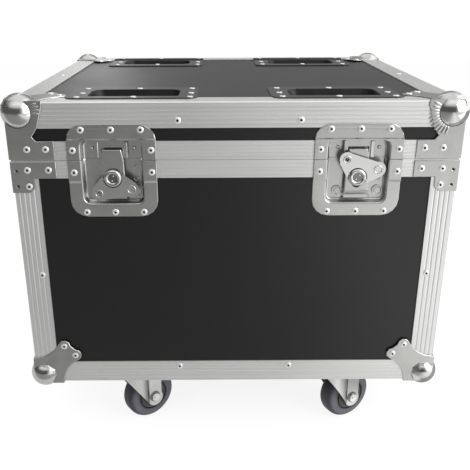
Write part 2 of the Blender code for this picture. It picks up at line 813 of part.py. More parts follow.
def handle_dish(surface):
    """Handle dish in its own axes, with an ear at each end that holds the bail's pins."""
    half = handle_plate_width / 2
    pan_half = handle_pan_length / 2
    dish = pressed_dish((handle_plate_length / 2, -half, half, handle_plate_round),
                        (pan_half, -handle_pan_width / 2, handle_pan_width / 2, handle_pan_round),
                        [(-half, panel_inset - gap)], handle_floor_depth, handle_pan_draft, "handle_dish")
    inside = bail_span / 2 + bail_rod_radius + gap
    for side in (-1, 1):
        ends = sorted((side * inside, side * (inside + ear_thickness)))
        ear = block((ends[0], panel_inset, bail_pivot_rise - ear_half_height),
                    (ends[1], handle_floor_depth + sheet / 2, bail_pivot_rise + ear_half_height))
        combine(dish, ear, "UNION")
        bore = rod(bail_rod_radius + gap, ends[0] - gap, ends[1] + gap, 0, bail_depth, bail_pivot_rise,
                   sides=hinge_sides)
        combine(dish, bore, "DIFFERENCE")
    return paint(dish, surface)


def bail(surface):
    """Bail in its own axes, with its pins on X: a bent rod with a thick grip along its lower side."""
    half = bail_span / 2
    pin = half + bail_rod_radius + gap + ear_thickness
    corner = arc((half - bail_bend, bail_bend - bail_drop), bail_bend, 0, -math.pi / 2, arc_steps)
    right = [(pin, 0), (half, 0)] + corner
    path = right + [(-across, height) for across, height in right[::-1]]
    curve = bpy.data.curves.new("bail_path", "CURVE")
    curve.dimensions = "3D"
    curve.bevel_depth = bail_rod_radius
    curve.bevel_resolution = 2
    curve.use_fill_caps = True
    spline = curve.splines.new("POLY")
    spline.points.add(len(path) - 1)
    for point, (across, height) in zip(spline.points, path):
        point.co = (across, 0, height, 1)
    guide = bpy.data.objects.new("bail_guide", curve)
    bpy.context.scene.collection.objects.link(guide)
    depsgraph = bpy.context.evaluated_depsgraph_get()
    mesh = bpy.data.meshes.new_from_object(guide.evaluated_get(depsgraph))
    bpy.data.objects.remove(guide, do_unlink=True)
    shape = bmesh.new()
    shape.from_mesh(mesh)
    bmesh.ops.remove_doubles(shape, verts=shape.verts, dist=merge_distance)
    handle = solid("bail", shape)
    grip_end = bail_grip_length / 2
    grip = rod(bail_grip_radius, -grip_end, grip_end, 0, 0, -bail_drop, sides=hinge_sides)
    return paint(combine(handle, grip, "UNION"), surface)


def side_handles(dish_surface, bail_surface):
    dish = handle_dish(dish_surface)
    bail_master = bail(bail_surface)
    for side, name in ((-1, "left"), (1, "right")):
        place = (side * half_width, case_y, box_low + handle_height)
        facing = (0, 0, side * math.pi / 2)
        hang(copy_of(dish, "handle_dish_" + name), None, place, facing)
        pivot = marker("handle_pivot_" + name, (side * (half_width - bail_depth), case_y,
                                                box_low + handle_height + bail_pivot_rise), facing)
        hang(copy_of(bail_master, "handle_bail_" + name), pivot)
    for master in (dish, bail_master):
        bpy.data.objects.remove(master, do_unlink=True)


def castor_plate(surface):
    """Top plate with its ball race and the riveted kingpin, centred on the kingpin."""
    half = castor_plate_width / 2
    top = panel_inset - gap
    underside = top - castor_plate_thickness
    outline = rounded_outline(castor_plate_length / 2, -half, half, castor_plate_round)
    plate = prism(outline, underside, top, 2)
    race_low = underside - race_height
    head_top = race_low - gap - crown_thickness - gap
    profile = [(0, top - gap), (race_radius, top - gap), (race_radius, underside),
               (race_foot_radius, race_low), (kingpin_radius, race_low), (kingpin_radius, head_top),
               (kingpin_head_radius, head_top), (kingpin_head_radius, head_top - kingpin_head),
               (0, head_top - kingpin_head)]
    return paint(combine(plate, turned(profile, round_sides, False), "UNION"), surface)


def castor_fork(surface):
    """Fork with its crown under the race, two legs, and the axle bolt with a nut at each end."""
    crown_top = panel_inset - gap - castor_plate_thickness - race_height - gap
    crown_low = crown_top - crown_thickness
    drop = wheel_axle_level - castor_height
    inner = wheel_hub_width / 2 + gap
    outer = inner + fork_sheet
    fork = rod(crown_radius, crown_low, crown_top, 2, sides=round_sides)
    front = castor_trail + fork_leg_end
    combine(fork, block((-fork_leg_back, -outer, crown_low), (front, outer, crown_top)), "UNION")
    foot = arc((castor_trail, drop), fork_leg_end, -fork_foot_angle, 0, arc_steps)
    overlap = crown_low + crown_thickness / 2
    outline = [(-fork_leg_back, overlap), (-fork_leg_back, crown_low)] + foot + [(front, overlap)]
    for side in (-1, 1):
        sides = sorted((side * inner, side * outer))
        combine(fork, prism(outline, sides[0], sides[1], 1), "UNION")
        ends = sorted((side * (outer - gap), side * (outer + axle_nut)))
        nut = rod(axle_nut_radius, ends[0], ends[1], 1, castor_trail, drop, sides=axle_nut_sides)
        combine(fork, nut, "UNION")
    combine(fork, rod(axle_radius, -outer, outer, 1, castor_trail, drop, sides=hinge_sides), "UNION")
    hole = rod(kingpin_radius + gap, crown_low - overrun, crown_top + overrun, 2, sides=hinge_sides)
    return paint(combine(fork, hole, "DIFFERENCE"), surface)


def castor_wheel(surface):
    """Rubber-tyred wheel with its hub, turned about its axle."""
    half = wheel_width / 2
    hub_half = wheel_hub_width / 2
    web = half - wheel_rim_inset
    side = [(axle_radius + gap, hub_half), (wheel_hub_radius, hub_half), (wheel_hub_radius, web),
            (wheel_rim_radius, web), (wheel_rim_radius, half),
            (wheel_radius - wheel_bevel, half), (wheel_radius, half - wheel_bevel)]
    profile = side + [(radius, -height) for radius, height in side[::-1]]
    wheel = turned(profile, wheel_segments, True)
    move_mesh(wheel, Matrix.Rotation(math.pi / 2 + math.pi / wheel_segments, 4, "Z"))
    move_mesh(wheel, Matrix.Rotation(math.pi / 2, 4, "X"))
    return paint(wheel, surface)


def castors(steel, rubber):
    plate_master = castor_plate(steel)
    fork_master = castor_fork(steel)
    wheel_master = castor_wheel(rubber)
    for name, (side, end) in corners.items():
        seat = (side * kingpin_spacing / 2, case_y + end * (half_depth - kingpin_inset), box_low)
        hang(copy_of(plate_master, "castor_plate_" + name), None, seat)
        swivel = marker("castor_swivel_" + name, seat, (0, 0, math.radians(swivels[name])))
        hang(copy_of(fork_master, "castor_fork_" + name), swivel)
        axle = (castor_trail, 0, wheel_axle_level - castor_height)
        hang(copy_of(wheel_master, "castor_wheel_" + name), swivel, axle)
    for master in (plate_master, fork_master, wheel_master):
        bpy.data.objects.remove(master, do_unlink=True)


def main():
    clear_scene()
    laminate = finish("black_laminate", (0.022, 0.022, 0.023), 0.42, 0)
    aluminium = finish("aluminium_trim", (0.62, 0.62, 0.61), 0.34, 1)
    zinc = finish("zinc_steel", (0.48, 0.48, 0.47), 0.32, 1)
    dark_steel = finish("dark_dish_steel", (0.16, 0.16, 0.16), 0.4, 0.8)
    knob_chrome = finish("knob_chrome", (0.7, 0.7, 0.7), 0.12, 1)
    rubber = finish("dark_rubber", (0.07, 0.07, 0.075), 0.6, 0)
    grip = finish("handle_grip", (0.03, 0.03, 0.03), 0.55, 0)

    lid_pivot = marker("lid_pivot", (0, case_y + half_depth + hinge_axis_out, joint_level))
    bottom_panel(laminate)
    wall_panels(laminate)
    bottom_edge_frame(aluminium)
    vertical_edges(aluminium)
    base_rail(aluminium)
    base_braces(zinc)
    lid_pieces = ball_corners(zinc) + [lid_panel(laminate), lid_side_frame(laminate)]
    lid_pieces += [lid_edge_frame(aluminium), lid_rail(aluminium)]
    for piece in lid_pieces:
        piece.data.transform(Matrix.Translation(-lid_pivot.location))
        hang(piece, lid_pivot)
    latch_dishes(zinc, lid_pivot)
    latch_mechanisms(knob_chrome, zinc)
    hinge(zinc, lid_pivot)
    castor_dishes(dark_steel, lid_pivot)
    side_handles(dark_steel, grip)
    castors(zinc, rubber)


main()
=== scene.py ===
import json
import math
from contextlib import contextmanager

import bmesh
import bpy
from mathutils import Matrix, Vector


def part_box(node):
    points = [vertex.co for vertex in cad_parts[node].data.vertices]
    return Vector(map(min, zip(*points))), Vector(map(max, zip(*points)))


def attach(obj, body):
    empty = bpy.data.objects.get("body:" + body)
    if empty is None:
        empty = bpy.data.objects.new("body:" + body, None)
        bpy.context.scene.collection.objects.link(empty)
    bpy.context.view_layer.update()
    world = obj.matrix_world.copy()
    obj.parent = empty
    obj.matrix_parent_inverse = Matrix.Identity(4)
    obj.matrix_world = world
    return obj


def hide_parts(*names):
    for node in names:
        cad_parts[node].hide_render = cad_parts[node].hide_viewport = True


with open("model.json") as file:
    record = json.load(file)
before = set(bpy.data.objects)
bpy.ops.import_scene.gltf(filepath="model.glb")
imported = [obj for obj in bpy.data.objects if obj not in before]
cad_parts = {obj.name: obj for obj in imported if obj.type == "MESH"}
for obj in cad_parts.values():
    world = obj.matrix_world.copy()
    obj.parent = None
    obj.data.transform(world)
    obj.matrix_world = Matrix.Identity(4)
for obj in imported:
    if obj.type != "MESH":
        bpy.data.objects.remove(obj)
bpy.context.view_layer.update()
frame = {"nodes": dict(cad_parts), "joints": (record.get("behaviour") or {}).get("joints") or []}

# Camera: in front of the case and a little above its lid, looking down at it. Its place, turn and lens were
# fitted to the straight edges of the case in the photograph.
camera_place = Vector((-0.02239, -0.97005, 0.59779))
camera_pitch = math.radians(21.125)
camera_yaw = math.radians(0.236)
camera_roll = math.radians(-0.214)
forward = Vector((math.sin(camera_yaw) * math.cos(camera_pitch), math.cos(camera_yaw) * math.cos(camera_pitch),
                  -math.sin(camera_pitch)))
level_right = forward.cross(Vector((0, 0, 1))).normalized()
level_up = level_right.cross(forward)
camera_right = math.cos(camera_roll) * level_right + math.sin(camera_roll) * level_up
camera_up = math.cos(camera_roll) * level_up - math.sin(camera_roll) * level_right
camera_data = bpy.data.cameras.new("camera")
camera_data.sensor_width = 36
camera_data.lens = 49.71
camera_data.shift_x = 0.0344
camera = bpy.data.objects.new("camera", camera_data)
axes = Matrix((camera_right, camera_up, -forward)).transposed()
camera.matrix_world = Matrix.Translation(camera_place) @ axes.to_4x4()
bpy.context.scene.collection.objects.link(camera)
bpy.context.scene.camera = camera
bpy.context.scene.view_settings.view_transform = "Standard"


# Studio: a pale floor, a white surround and three soft lamps. Metal that faces the front mirrors the floor,
# which glows grey at the left, brighter to the right, dim for the lower right ball, and in a strip at the far
# right for the bends of the latches. The lid mirrors the surround behind it.
class Socket:
    """An output of a shader node. Arithmetic on it adds Math nodes."""

    def __init__(self, shading, output):
        self.shading = shading
        self.output = output

    def math(self, operation, *values):
        return self.shading.node("ShaderNodeMath", {"operation": operation}, dict(enumerate(values)))

    def __add__(self, other):
        return self.math("ADD", self, other)

    def __radd__(self, other):
        return self.math("ADD", other, self)

    def __sub__(self, other):
        return self.math("SUBTRACT", self, other)

    def __rsub__(self, other):
        return self.math("SUBTRACT", other, self)

    def __mul__(self, other):
        return self.math("MULTIPLY", self, other)

    def __rmul__(self, other):
        return self.math("MULTIPLY", other, self)


class Shading:
    """A node tree being wired: node() adds a node and gives back one of its outputs."""

    def __init__(self, holder):
        holder.use_nodes = True
        self.tree = holder.node_tree

    def feed(self, socket, value):
        if isinstance(value, Socket):
            self.tree.links.new(value.output, socket)
        elif socket.type == "RGBA":
            socket.default_value = (*value, 1)
        else:
            socket.default_value = value

    def node(self, kind, settings=None, values=None, output=0):
        made = self.tree.nodes.new(kind)
        for name, value in (settings or {}).items():
            setattr(made, name, value)
        for name, value in (values or {}).items():
            self.feed(made.inputs[name], value)
        return Socket(self, made.outputs[output]) if made.outputs else None

    def blend(self, factor, first, second):
        """Colour between first and second."""
        return self.node("ShaderNodeMix", {"data_type": "RGBA"}, {0: factor, 6: first, 7: second}, 2)

    def ramp(self, value, start, end, low, high):
        """Value that rises smoothly from low at start to high at end."""
        return self.node("ShaderNodeMapRange", {"interpolation_type": "SMOOTHSTEP"},
                         {"Value": value, "From Min": start, "From Max": end, "To Min": low, "To Max": high})

    def ways(self, kind):
        """How far east, north and up a point or a direction is."""
        place = self.node("ShaderNodeTexCoord", None, None, kind)
        return [self.node("ShaderNodeSeparateXYZ", None, {"Vector": place}, way) for way in "XYZ"]

    def rays(self):
        """Whether the camera sees this straight, and whether it is seen in metal."""
        seen, mirror, glass = (self.node("ShaderNodeLightPath", None, None, "Is " + kind + " Ray")
                               for kind in ("Camera", "Glossy", "Transmission"))
        return seen, mirror + glass


bpy.ops.mesh.primitive_plane_add(size=9, location=(0, 0, 0))
floor = bpy.context.object
floor.name = "studio_floor"
paper = bpy.data.materials.new("studio_paper")
shade = Shading(paper)
shade.tree.nodes.clear()
east, north, _ = shade.ways("Object")
seen, glossy = shade.rays()
mirrored = 0.26 + shade.ramp(east, -0.35, 0.15, 0, 0.15) + shade.ramp(east, 0.04, 0.46, 0, 0.88)
mirrored = mirrored - shade.ramp(east, 0.45, 0.80, 0, 0.38) + shade.ramp(north, -0.40, -0.30, 0, 0.48)
under_ball = shade.ramp(east, 0.21, 0.27, 0, 0.75) * shade.ramp(north, -0.36, -0.31, 0, 1)
strip = shade.ramp(north, -1.25, -1.10, 0, 1) * shade.ramp(north, -0.50, -0.35, 1, 0)
mirrored = mirrored * (1 - under_ball) + shade.ramp(east, 0.72, 0.88, 0, 1.2) * strip
lit = shade.node("ShaderNodeBsdfDiffuse", None, {"Color": (0.82, 0.82, 0.82)})
glow = shade.node("ShaderNodeEmission", None, {"Color": seen * 1.20 + glossy * mirrored})
mixed = shade.node("ShaderNodeMixShader", None, {0: seen * 0.72 + glossy * 0.85, 1: lit, 2: glow})
shade.node("ShaderNodeOutputMaterial", None, {"Surface": mixed})
floor.data.materials.append(paper)

world = bpy.data.worlds.new("studio_surround")
bpy.context.scene.world = world
shade = Shading(world)
shade.tree.nodes.clear()
east, north, height = shade.ways("Generated")
seen, glossy = shade.rays()
window = shade.ramp(east, -0.26, -0.17, 0, 0.9) * shade.ramp(east, -0.17, -0.08, 1, 0)
window = window * shade.ramp(north, 0.5, 0.8, 0, 1)
front_box = shade.ramp(height, 0.40, 0.55, 0, 0.5) * shade.ramp(north, -0.6, -0.2, 1, 0)
right_wall = shade.ramp(east, 0.25, 0.80, 0, 1.5)
ceiling = shade.ramp(height, 0.45, 0.95, 0, 0.9)
mirrored = 0.12 + shade.ramp(north, 0.0, 0.9, 0, 0.24) + window + front_box + right_wall + ceiling
ambient = 0.34 + 0.08 * east + 0.26 * height
sky = shade.node("ShaderNodeBackground", None,
                 {"Color": seen + (1 - seen) * (glossy * mirrored + (1 - glossy) * ambient)})
shade.node("ShaderNodeOutputWorld", None, {"Surface": sky})


def soft_lamp(name, place, target, width, height, power, mirrored):
    """A soft box that faces its target and may show in polished metal."""
    lamp = bpy.data.lights.new(name, "AREA")
    lamp.shape = "RECTANGLE"
    lamp.size = width
    lamp.size_y = height
    lamp.energy = power
    holder = bpy.data.objects.new(name, lamp)
    aim = (Vector(target) - Vector(place)).to_track_quat("-Z", "Y")
    holder.matrix_world = Matrix.Translation(place) @ aim.to_matrix().to_4x4()
    holder.visible_camera = False
    holder.visible_glossy = mirrored
    bpy.context.scene.collection.objects.link(holder)


soft_lamp("lamp_right", (1.5, -1.3, 1.1), (0, 0, 0.25), 1.2, 1.4, 22, True)
soft_lamp("lamp_left", (-1.4, -1.5, 1.1), (0, 0, 0.25), 0.8, 1.0, 10, False)
soft_lamp("lamp_top", (0.2, 0.2, 2.2), (0, 0, 0.3), 1.8, 1.4, 20, False)


# Panels: 9 mm birch plywood with a black phenolic film on both faces, let into the aluminium angles. The film
# is satin and even, with faint smears where it was wiped.
class Finish(Shading):
    """A material on a Principled shader, with numbers set once and patterns fed in later."""

    def __init__(self, name, **numbers):
        self.material = bpy.data.materials.new(name)
        super().__init__(self.material)
        self.surface = self.tree.nodes["Principled BSDF"]
        for socket, value in numbers.items():
            self.set(socket.replace("_", " "), value)

    def set(self, socket, value):
        self.feed(self.surface.inputs[socket], value)

    def noise(self, size, detail=2.0, stretch=(1, 1, 1)):
        """Even noise from 0 to 1: size is the patches to a metre, stretch makes them more along an axis."""
        place = self.node("ShaderNodeTexCoord", None, None, "Object")
        drawn = self.node("ShaderNodeMapping", None, {"Vector": place, "Scale": stretch})
        return self.node("ShaderNodeTexNoise", None, {"Vector": drawn, "Scale": size, "Detail": detail})

    def clouded(self, size, detail, dark, pale):
        """Base colour that drifts between two tones. Gives back the drift, from 0 to 1."""
        cloud = self.noise(size, detail)
        self.tone = self.blend(cloud, dark, pale)
        self.set("Base Color", self.tone)
        return cloud

    def stained(self, where, colour):
        """Another colour over the clouded one, as far as a pattern says."""
        self.set("Base Color", self.blend(where, self.tone, colour))

    def attribute(self, name):
        return self.node("ShaderNodeAttribute", {"attribute_name": name}, None, "Fac")

    def bump(self, height, strength, distance):
        self.set("Normal", self.node("ShaderNodeBump", None,
                                     {"Height": height, "Strength": strength, "Distance": distance}))


def clad(piece, materials, which=None):
    """Gives a piece its materials, and each face the one whose number which() says."""
    piece.data.materials.clear()
    for material in materials:
        piece.data.materials.append(material)
    if which:
        for face in piece.data.polygons:
            face.material_index = int(which(face))


black_film = Finish("black_film", Metallic=0.0, Specular_IOR_Level=0.50)
smear = black_film.clouded(7.0, 2.0, (0.0032, 0.0032, 0.0034), (0.0062, 0.0061, 0.0060))
wiped = black_film.noise(24.0, 2.0, (1, 1, 7))
black_film.set("Roughness", 0.27 + 0.08 * smear + 0.05 * wiped)
black_film.bump(black_film.noise(1500.0), 0.05, 0.0001)
for name in ("bottom_panel", "front_panel", "back_panel", "left_panel", "right_panel", "lid_panel",
             "lid_side_frame"):
    clad(frame["nodes"][name], [black_film.material])


# Edge extrusions and closure rails: aluminium angle with ribs rolled along it, sawn to length with mitred ends
# and riveted to the panels. The rails at the joint carry the tongue and the groove that keep dust out.
def take(*pieces):
    """Selects these pieces alone, the first one active."""
    bpy.ops.object.select_all(action="DESELECT")
    for piece in pieces:
        piece.select_set(True)
    bpy.context.view_layer.objects.active = pieces[0]


@contextmanager
def editing(piece):
    """Edit mode on one piece alone, at first with all of it selected."""
    take(piece)
    bpy.ops.object.mode_set(mode="EDIT")
    bpy.ops.mesh.select_all(action="SELECT")
    yield
    bpy.ops.object.mode_set(mode="OBJECT")


def make_whole():
    """In edit mode, merges doubles and joins the triangles of flat faces."""
    bpy.ops.mesh.remove_doubles(threshold=0.00001)
    bpy.ops.mesh.dissolve_limited(angle_limit=math.radians(0.5))


def own_copy(original, name):
    """New object with its own copy of a mesh."""
    piece = bpy.data.objects.new(name, original.data.copy())
    bpy.context.scene.collection.objects.link(piece)
    return piece


def solid_copy(node, name):
    """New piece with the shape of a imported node, and no material yet."""
    piece = own_copy(frame["nodes"][node], name)
    piece.data.materials.clear()
    take(piece)
    bpy.ops.mesh.customdata_custom_splitnormals_clear()
    with editing(piece):
        make_whole()
    return piece


def choose(piece, kind, wanted):
    """In edit mode, selects the wanted ones of a piece's corners, edges or faces."""
    bpy.ops.mesh.select_mode(type=kind)
    bpy.ops.mesh.select_all(action="DESELECT")
    shape = bmesh.from_edit_mesh(piece.data)
    for part in {"VERT": shape.verts, "EDGE": shape.edges, "FACE": shape.faces}[kind]:
        if wanted(part):
            part.select_set(True)
    bmesh.update_edit_mesh(piece.data)


def choose_faces(piece, wanted):
    """In edit mode, selects the faces whose centre and normal are wanted."""
    choose(piece, "FACE", lambda face: wanted(face.calc_center_median(), face.normal))


def groove(piece, axis, places, width, depth, wanted):
    """Rolls grooves square to an axis into the wanted faces of a piece."""
    square = [0, 0, 0]
    square[axis] = 1
    with editing(piece):
        for place in places:
            for edge in (place - width / 2, place + width / 2):
                choose_faces(piece, wanted)
                bpy.ops.mesh.bisect(plane_co=[way * edge for way in square], plane_no=square)
        choose_faces(piece, lambda centre, normal: wanted(centre, normal)
                     and any(abs(centre[axis] - place) < width / 2 for place in places))
        bpy.ops.mesh.inset(thickness=width * groove_flank, depth=-depth, use_individual=True)


def even_faces(piece, angle=35):
    """Smooths bends below an angle and keeps the flats flat."""
    take(piece)
    bpy.ops.object.shade_smooth_by_angle(angle=math.radians(angle))
    flats = piece.modifiers.new("flats", "WEIGHTED_NORMAL")
    flats.keep_sharp = True
    bpy.ops.object.modifier_apply(modifier=flats.name)


def soften(piece, width, segments=2, least_angle=50):
    """Rounds the sharp edges of a piece, as a press or a file leaves them."""
    take(piece)
    bevel = piece.modifiers.new("edges", "BEVEL")
    bevel.width = width
    bevel.segments = segments
    bevel.limit_method = "ANGLE"
    bevel.angle_limit = math.radians(least_angle)
    bpy.ops.object.modifier_apply(modifier=bevel.name)
    even_faces(piece)


def finish_piece(piece, material, body, slot, *nodes):
    """Gives a piece a material, unless it has one, and its body, and hides the nodes that it stands for. The
    slot is not used.
    """
    if material:
        clad(piece, [material])
    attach(piece, body)
    if nodes:
        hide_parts(*nodes)


def extruded(name, along):
    """Mill-finish aluminium with die lines along one axis."""
    finish = Finish(name, Metallic=0.75)
    lines = finish.noise(1.0, 2.0, [6 if axis == along else 1500 for axis in range(3)])
    bands = finish.noise(1.0, 1.0, [2 if axis == along else 220 for axis in range(3)])
    cloud = finish.noise(16.0)
    tone = lines * 0.35 + bands * 0.35 + cloud * 0.30
    finish.set("Base Color", finish.blend(tone, (0.62, 0.62, 0.61), (0.82, 0.82, 0.81)))
    finish.set("Roughness", 0.25 + 0.14 * lines + 0.08 * cloud)
    finish.bump(lines, 0.06, 0.0001)
    return finish.material


aluminium = [extruded("aluminium_along_" + "xyz"[axis], axis) for axis in range(3)]
case_low, case_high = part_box("lid_edge_frame")
floor_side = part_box("bottom_edge_frame")[0].z
middle = (case_low + case_high) / 2
halves = (case_high - case_low) / 2
edge_leg = 0.030
flat = 0.0001
groove_flank = 0.36
fine_rib = (0.0009, 0.00035)
wide_rib = (0.0022, 0.0005)


def gap(axis, point):
    """How far a point lies inside the nearer of the case's two faces square to an axis."""
    return halves[axis] - abs(point[axis] - middle[axis])


def inside(axis, way, distance=0.0):
    """Place along an axis, at a distance inside the case's left or front (-1), right or back (1) face."""
    return middle[axis] + way * (halves[axis] - distance)


def on_wall(centre, normal):
    """A face on the outer side of the case's walls."""
    return abs(normal.z) < 0.1 and min(gap(0, centre), gap(1, centre)) < flat


def on_side(face):
    """A face of a side length, where the die lines run along Y instead of X."""
    return gap(0, face.center) < gap(1, face.center)


def rib_frame(piece, top, offsets, size):
    """Ribs of an angle that runs round the case, on its upright and its level leg."""
    level = case_high.z if top else floor_side
    rise = -1 if top else 1
    groove(piece, 2, [level + rise * offset for offset in offsets], *size, on_wall)
    with editing(piece):
        for side in (-1, 1):
            for end in (-1, 1):
                choose_faces(piece, lambda centre, normal: abs(centre.z - level) < flat)
                bpy.ops.mesh.bisect(plane_co=(inside(0, side), inside(1, end), 0), plane_no=(side, -end, 0))
    for side in (-1, 1):
        for axis in (0, 1):
            groove(piece, axis, [inside(axis, side, offset) for offset in offsets], *size,
                   lambda centre, normal: abs(centre.z - level) < flat
                   and gap(axis, centre) < min(edge_leg, gap(1 - axis, centre))
                   and (centre[axis] - middle[axis]) * side > 0)


for node, top, body in (("lid_edge_frame", True, "lid"), ("bottom_edge_frame", False, "base")):
    angle = solid_copy(node, node + "_ribbed")
    rib_frame(angle, top, (0.0052, 0.0100, 0.0148, 0.0196, 0.0244), fine_rib)
    soften(angle, 0.0005)
    clad(angle, aluminium[:2], on_side)
    finish_piece(angle, None, body, "aluminium_trim", node)

joint_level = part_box("lid_closure_rail")[0].z
for node, body, offsets in (("lid_closure_rail", "lid", (0.0045, 0.0088, 0.0131, 0.0174)),
                            ("base_closure_rail", "base", (-0.0045, -0.0087, -0.0129, -0.0171))):
    rail = solid_copy(node, node + "_ribbed")
    groove(rail, 2, [joint_level + offset for offset in offsets], *fine_rib, on_wall)
    soften(rail, 0.0003)
    clad(rail, aluminium[:2], on_side)
    finish_piece(rail, None, body, "aluminium_trim", node)

corner_sides = {"front_left": (-1, -1), "front_right": (1, -1), "rear_left": (-1, 1), "rear_right": (1, 1)}
for name, sides in corner_sides.items():
    node = "vertical_edge_" + name
    angle = solid_copy(node, node + "_ribbed")
    for axis in (0, 1):
        groove(angle, axis, [inside(axis, sides[axis], offset) for offset in (0.0066, 0.0124, 0.0182, 0.0240)],
               *wide_rib, lambda centre, normal: abs(normal[1 - axis]) > 0.9 and gap(1 - axis, centre) < flat)
    soften(angle, 0.0005, 2, 25)
    finish_piece(angle, aluminium[2], "base", "aluminium_trim", node)


# Rivets: blind rivets of bright aluminium, 8 mm across the head, with the stub of the broken mandrel in
# the middle, painted near-black, partly as the stub's steel and partly as painted shade in its hollow. They
# hold every edge, corner, dish, latch and hinge leaf to the plywood.
def rivet_metal(name, colour, roughness):
    finish = Finish(name, Metallic=0.6)
    cloud = finish.clouded(260.0, 2.0, colour, [0.8 * part for part in colour])
    finish.set("Roughness", roughness + 0.1 * cloud)
    return finish.material


rivet_radius = 0.0040
stub_radius = 0.0017
bpy.ops.mesh.primitive_circle_add(vertices=12, radius=rivet_radius, fill_type="NGON")
rivet_master = bpy.context.object
with editing(rivet_master):
    bpy.ops.mesh.extrude_region_move(TRANSFORM_OT_translate={"value": (0, 0, 0.0004)})
    for inwards, rise in ((0.0008, 0.0006), (0.0010, 0.0003), (0.0006, 0.0), (0.0002, -0.0009)):
        bpy.ops.mesh.inset(thickness=inwards, depth=rise)
    bpy.ops.mesh.select_all(action="SELECT")
    bpy.ops.mesh.normals_make_consistent(inside=False)
# The sunk middle of each head is near-black: partly the stub's steel, partly painted shade in the hollow.
clad(rivet_master, [rivet_metal("rivet_aluminium", (0.92, 0.92, 0.91), 0.26),
                    rivet_metal("rivet_stub_and_hollow_shade", (0.045, 0.045, 0.045), 0.5)],
     lambda face: math.hypot(face.center.x, face.center.y) < stub_radius and abs(face.center.z) > flat)
take(rivet_master)
bpy.ops.object.shade_smooth_by_angle(angle=math.radians(50))


def turned_to(way):
    """Turn that brings the Z axis to a direction."""
    return Vector(way).to_track_quat("Z", "X").to_matrix().to_4x4()


def rivets(name, spots, body, size=1.0):
    """One piece that holds a rivet at each spot, given as a point of the surface and the way out of it."""
    heads = []
    for point, outwards in spots:
        head = own_copy(rivet_master, name)
        head.data.transform(Matrix.Translation(point) @ turned_to(outwards) @ Matrix.Scale(size, 4))
        heads.append(head)
    take(*heads)
    bpy.ops.object.join()
    heads[0].name = name
    finish_piece(heads[0], None, body, "zinc_steel")


lid_row = floor_side + 0.3473
base_row = floor_side + 0.0228
upright_row = floor_side + 0.1550
upright_inset = 0.0220
lid_spots = []
base_spots = []
for side in (-1, 1):
    to_end = (0, side, 0)
    to_side = (side, 0, 0)
    lid_spots += [((across, inside(1, side), lid_row), to_end) for across in (-0.0660, 0.0750)]
    lid_spots += [((inside(0, side, edge_leg / 2), middle.y, case_high.z), (0, 0, 1)),
                  ((inside(0, side), middle.y, lid_row), to_side)]
    base_spots += [((across, inside(1, side), base_row), to_end) for across in (-0.0715, 0.0715)]
    base_spots.append(((inside(0, side), middle.y, base_row), to_side))
    for end in (-1, 1):
        base_spots += [((inside(0, end, upright_inset), inside(1, side), upright_row), to_end),
                       ((inside(0, side), inside(1, end, upright_inset), upright_row), to_side)]
rivets("lid_edge_rivets", lid_spots, "lid")
rivets("base_edge_rivets", base_spots, "base")


# Corners: three plates pressed from 1.2 mm zinc-plated steel round a hollow ball over the point of the case. At
# the lid, legs reach down to the joint, and creases from the press fan out from the ball, most of them at the
# right.
def plated(name, colour, roughness, wear=1.0):
    """Zinc-plated or polished steel: a faint cloud in the plating and fine scratches."""
    finish = Finish(name, Metallic=1.0)
    cloud = finish.clouded(55.0, 4.0, [0.84 * part for part in colour], [1.14 * part for part in colour])
    scratch = finish.noise(1.0, 2.0, (30, 900, 300))
    finish.set("Roughness", roughness + (0.12 * cloud + 0.06 * scratch) * wear)
    finish.bump(cloud * 0.6 + scratch * 0.4, 0.10 * wear, 0.0002)
    return finish.material


zinc = plated("zinc_plate", (0.54, 0.54, 0.525), 0.20)
polished = plated("polished_steel", (0.60, 0.60, 0.585), 0.10, 0.8)
skin_reach = 0.0015
skin_gap = 0.0003
plate_edge = 0.0009
ball_slit = 0.0005
sharp_bend = 0.7


def corner_matrix(side, end, top):
    """From a corner's own axes, which run inwards along its three edges, to the case."""
    place = Matrix.Translation((inside(0, side), inside(1, end), case_high.z if top else floor_side))
    return place @ Matrix.Diagonal((-side, -end, -1 if top else 1, 1))


def corner_copy(node, top):
    """Packed front left corner in its own axes, its faces turned outwards again."""
    piece = solid_copy(node, "corner_master")
    piece.data.transform(corner_matrix(-1, -1, top).inverted())
    with editing(piece):
        bpy.ops.mesh.normals_make_consistent(inside=False)
    return piece


def laid_down():
    """The primitive that was just added, with its place and size in its mesh."""
    made = bpy.context.object
    take(made)
    bpy.ops.object.transform_apply(location=True, rotation=True, scale=True)
    return made


def sphere(radius, place, segments=56):
    bpy.ops.mesh.primitive_uv_sphere_add(segments=segments, ring_count=segments // 2, radius=radius,
                                         location=place)
    return laid_down()


def slab(low, high):
    """Plate or block between two corners."""
    size = [top - bottom for bottom, top in zip(low, high)]
    centre = [bottom + part / 2 for bottom, part in zip(low, size)]
    bpy.ops.mesh.primitive_cube_add(size=1, location=centre, scale=size)
    return laid_down()


def discard(*pieces):
    for piece in pieces:
        bpy.data.objects.remove(piece, do_unlink=True)


def boolean(piece, operation, *tools):
    """Adds tools to a piece or cuts them away, one after another, and discards them."""
    take(piece)
    for tool in tools:
        change = piece.modifiers.new("change", "BOOLEAN")
        change.object = tool
        change.operation = operation
        change.solver = "EXACT"
        bpy.ops.object.modifier_apply(modifier=change.name)
        discard(tool)


def round_edges(piece, wanted, width, segments=3):
    """Rounds the sharp edges whose two ends and two face normals are wanted."""
    with editing(piece):
        choose(piece, "EDGE", lambda edge: len(edge.link_faces) == 2 and edge.calc_face_angle() > sharp_bend
               and wanted([vertex.co for vertex in edge.verts], [face.normal for face in edge.link_faces]))
        bpy.ops.mesh.bevel(offset=width, segments=segments, affect="EDGES")


def placed(master, name, place, angle=35):
    """Copy of a master with its own mesh, set in place."""
    piece = own_copy(master, name)
    take(piece)
    bpy.ops.mesh.customdata_custom_splitnormals_clear()
    piece.data.transform(place)
    if place.determinant() < 0:
        piece.data.flip_normals()
    even_faces(piece, angle)
    return piece


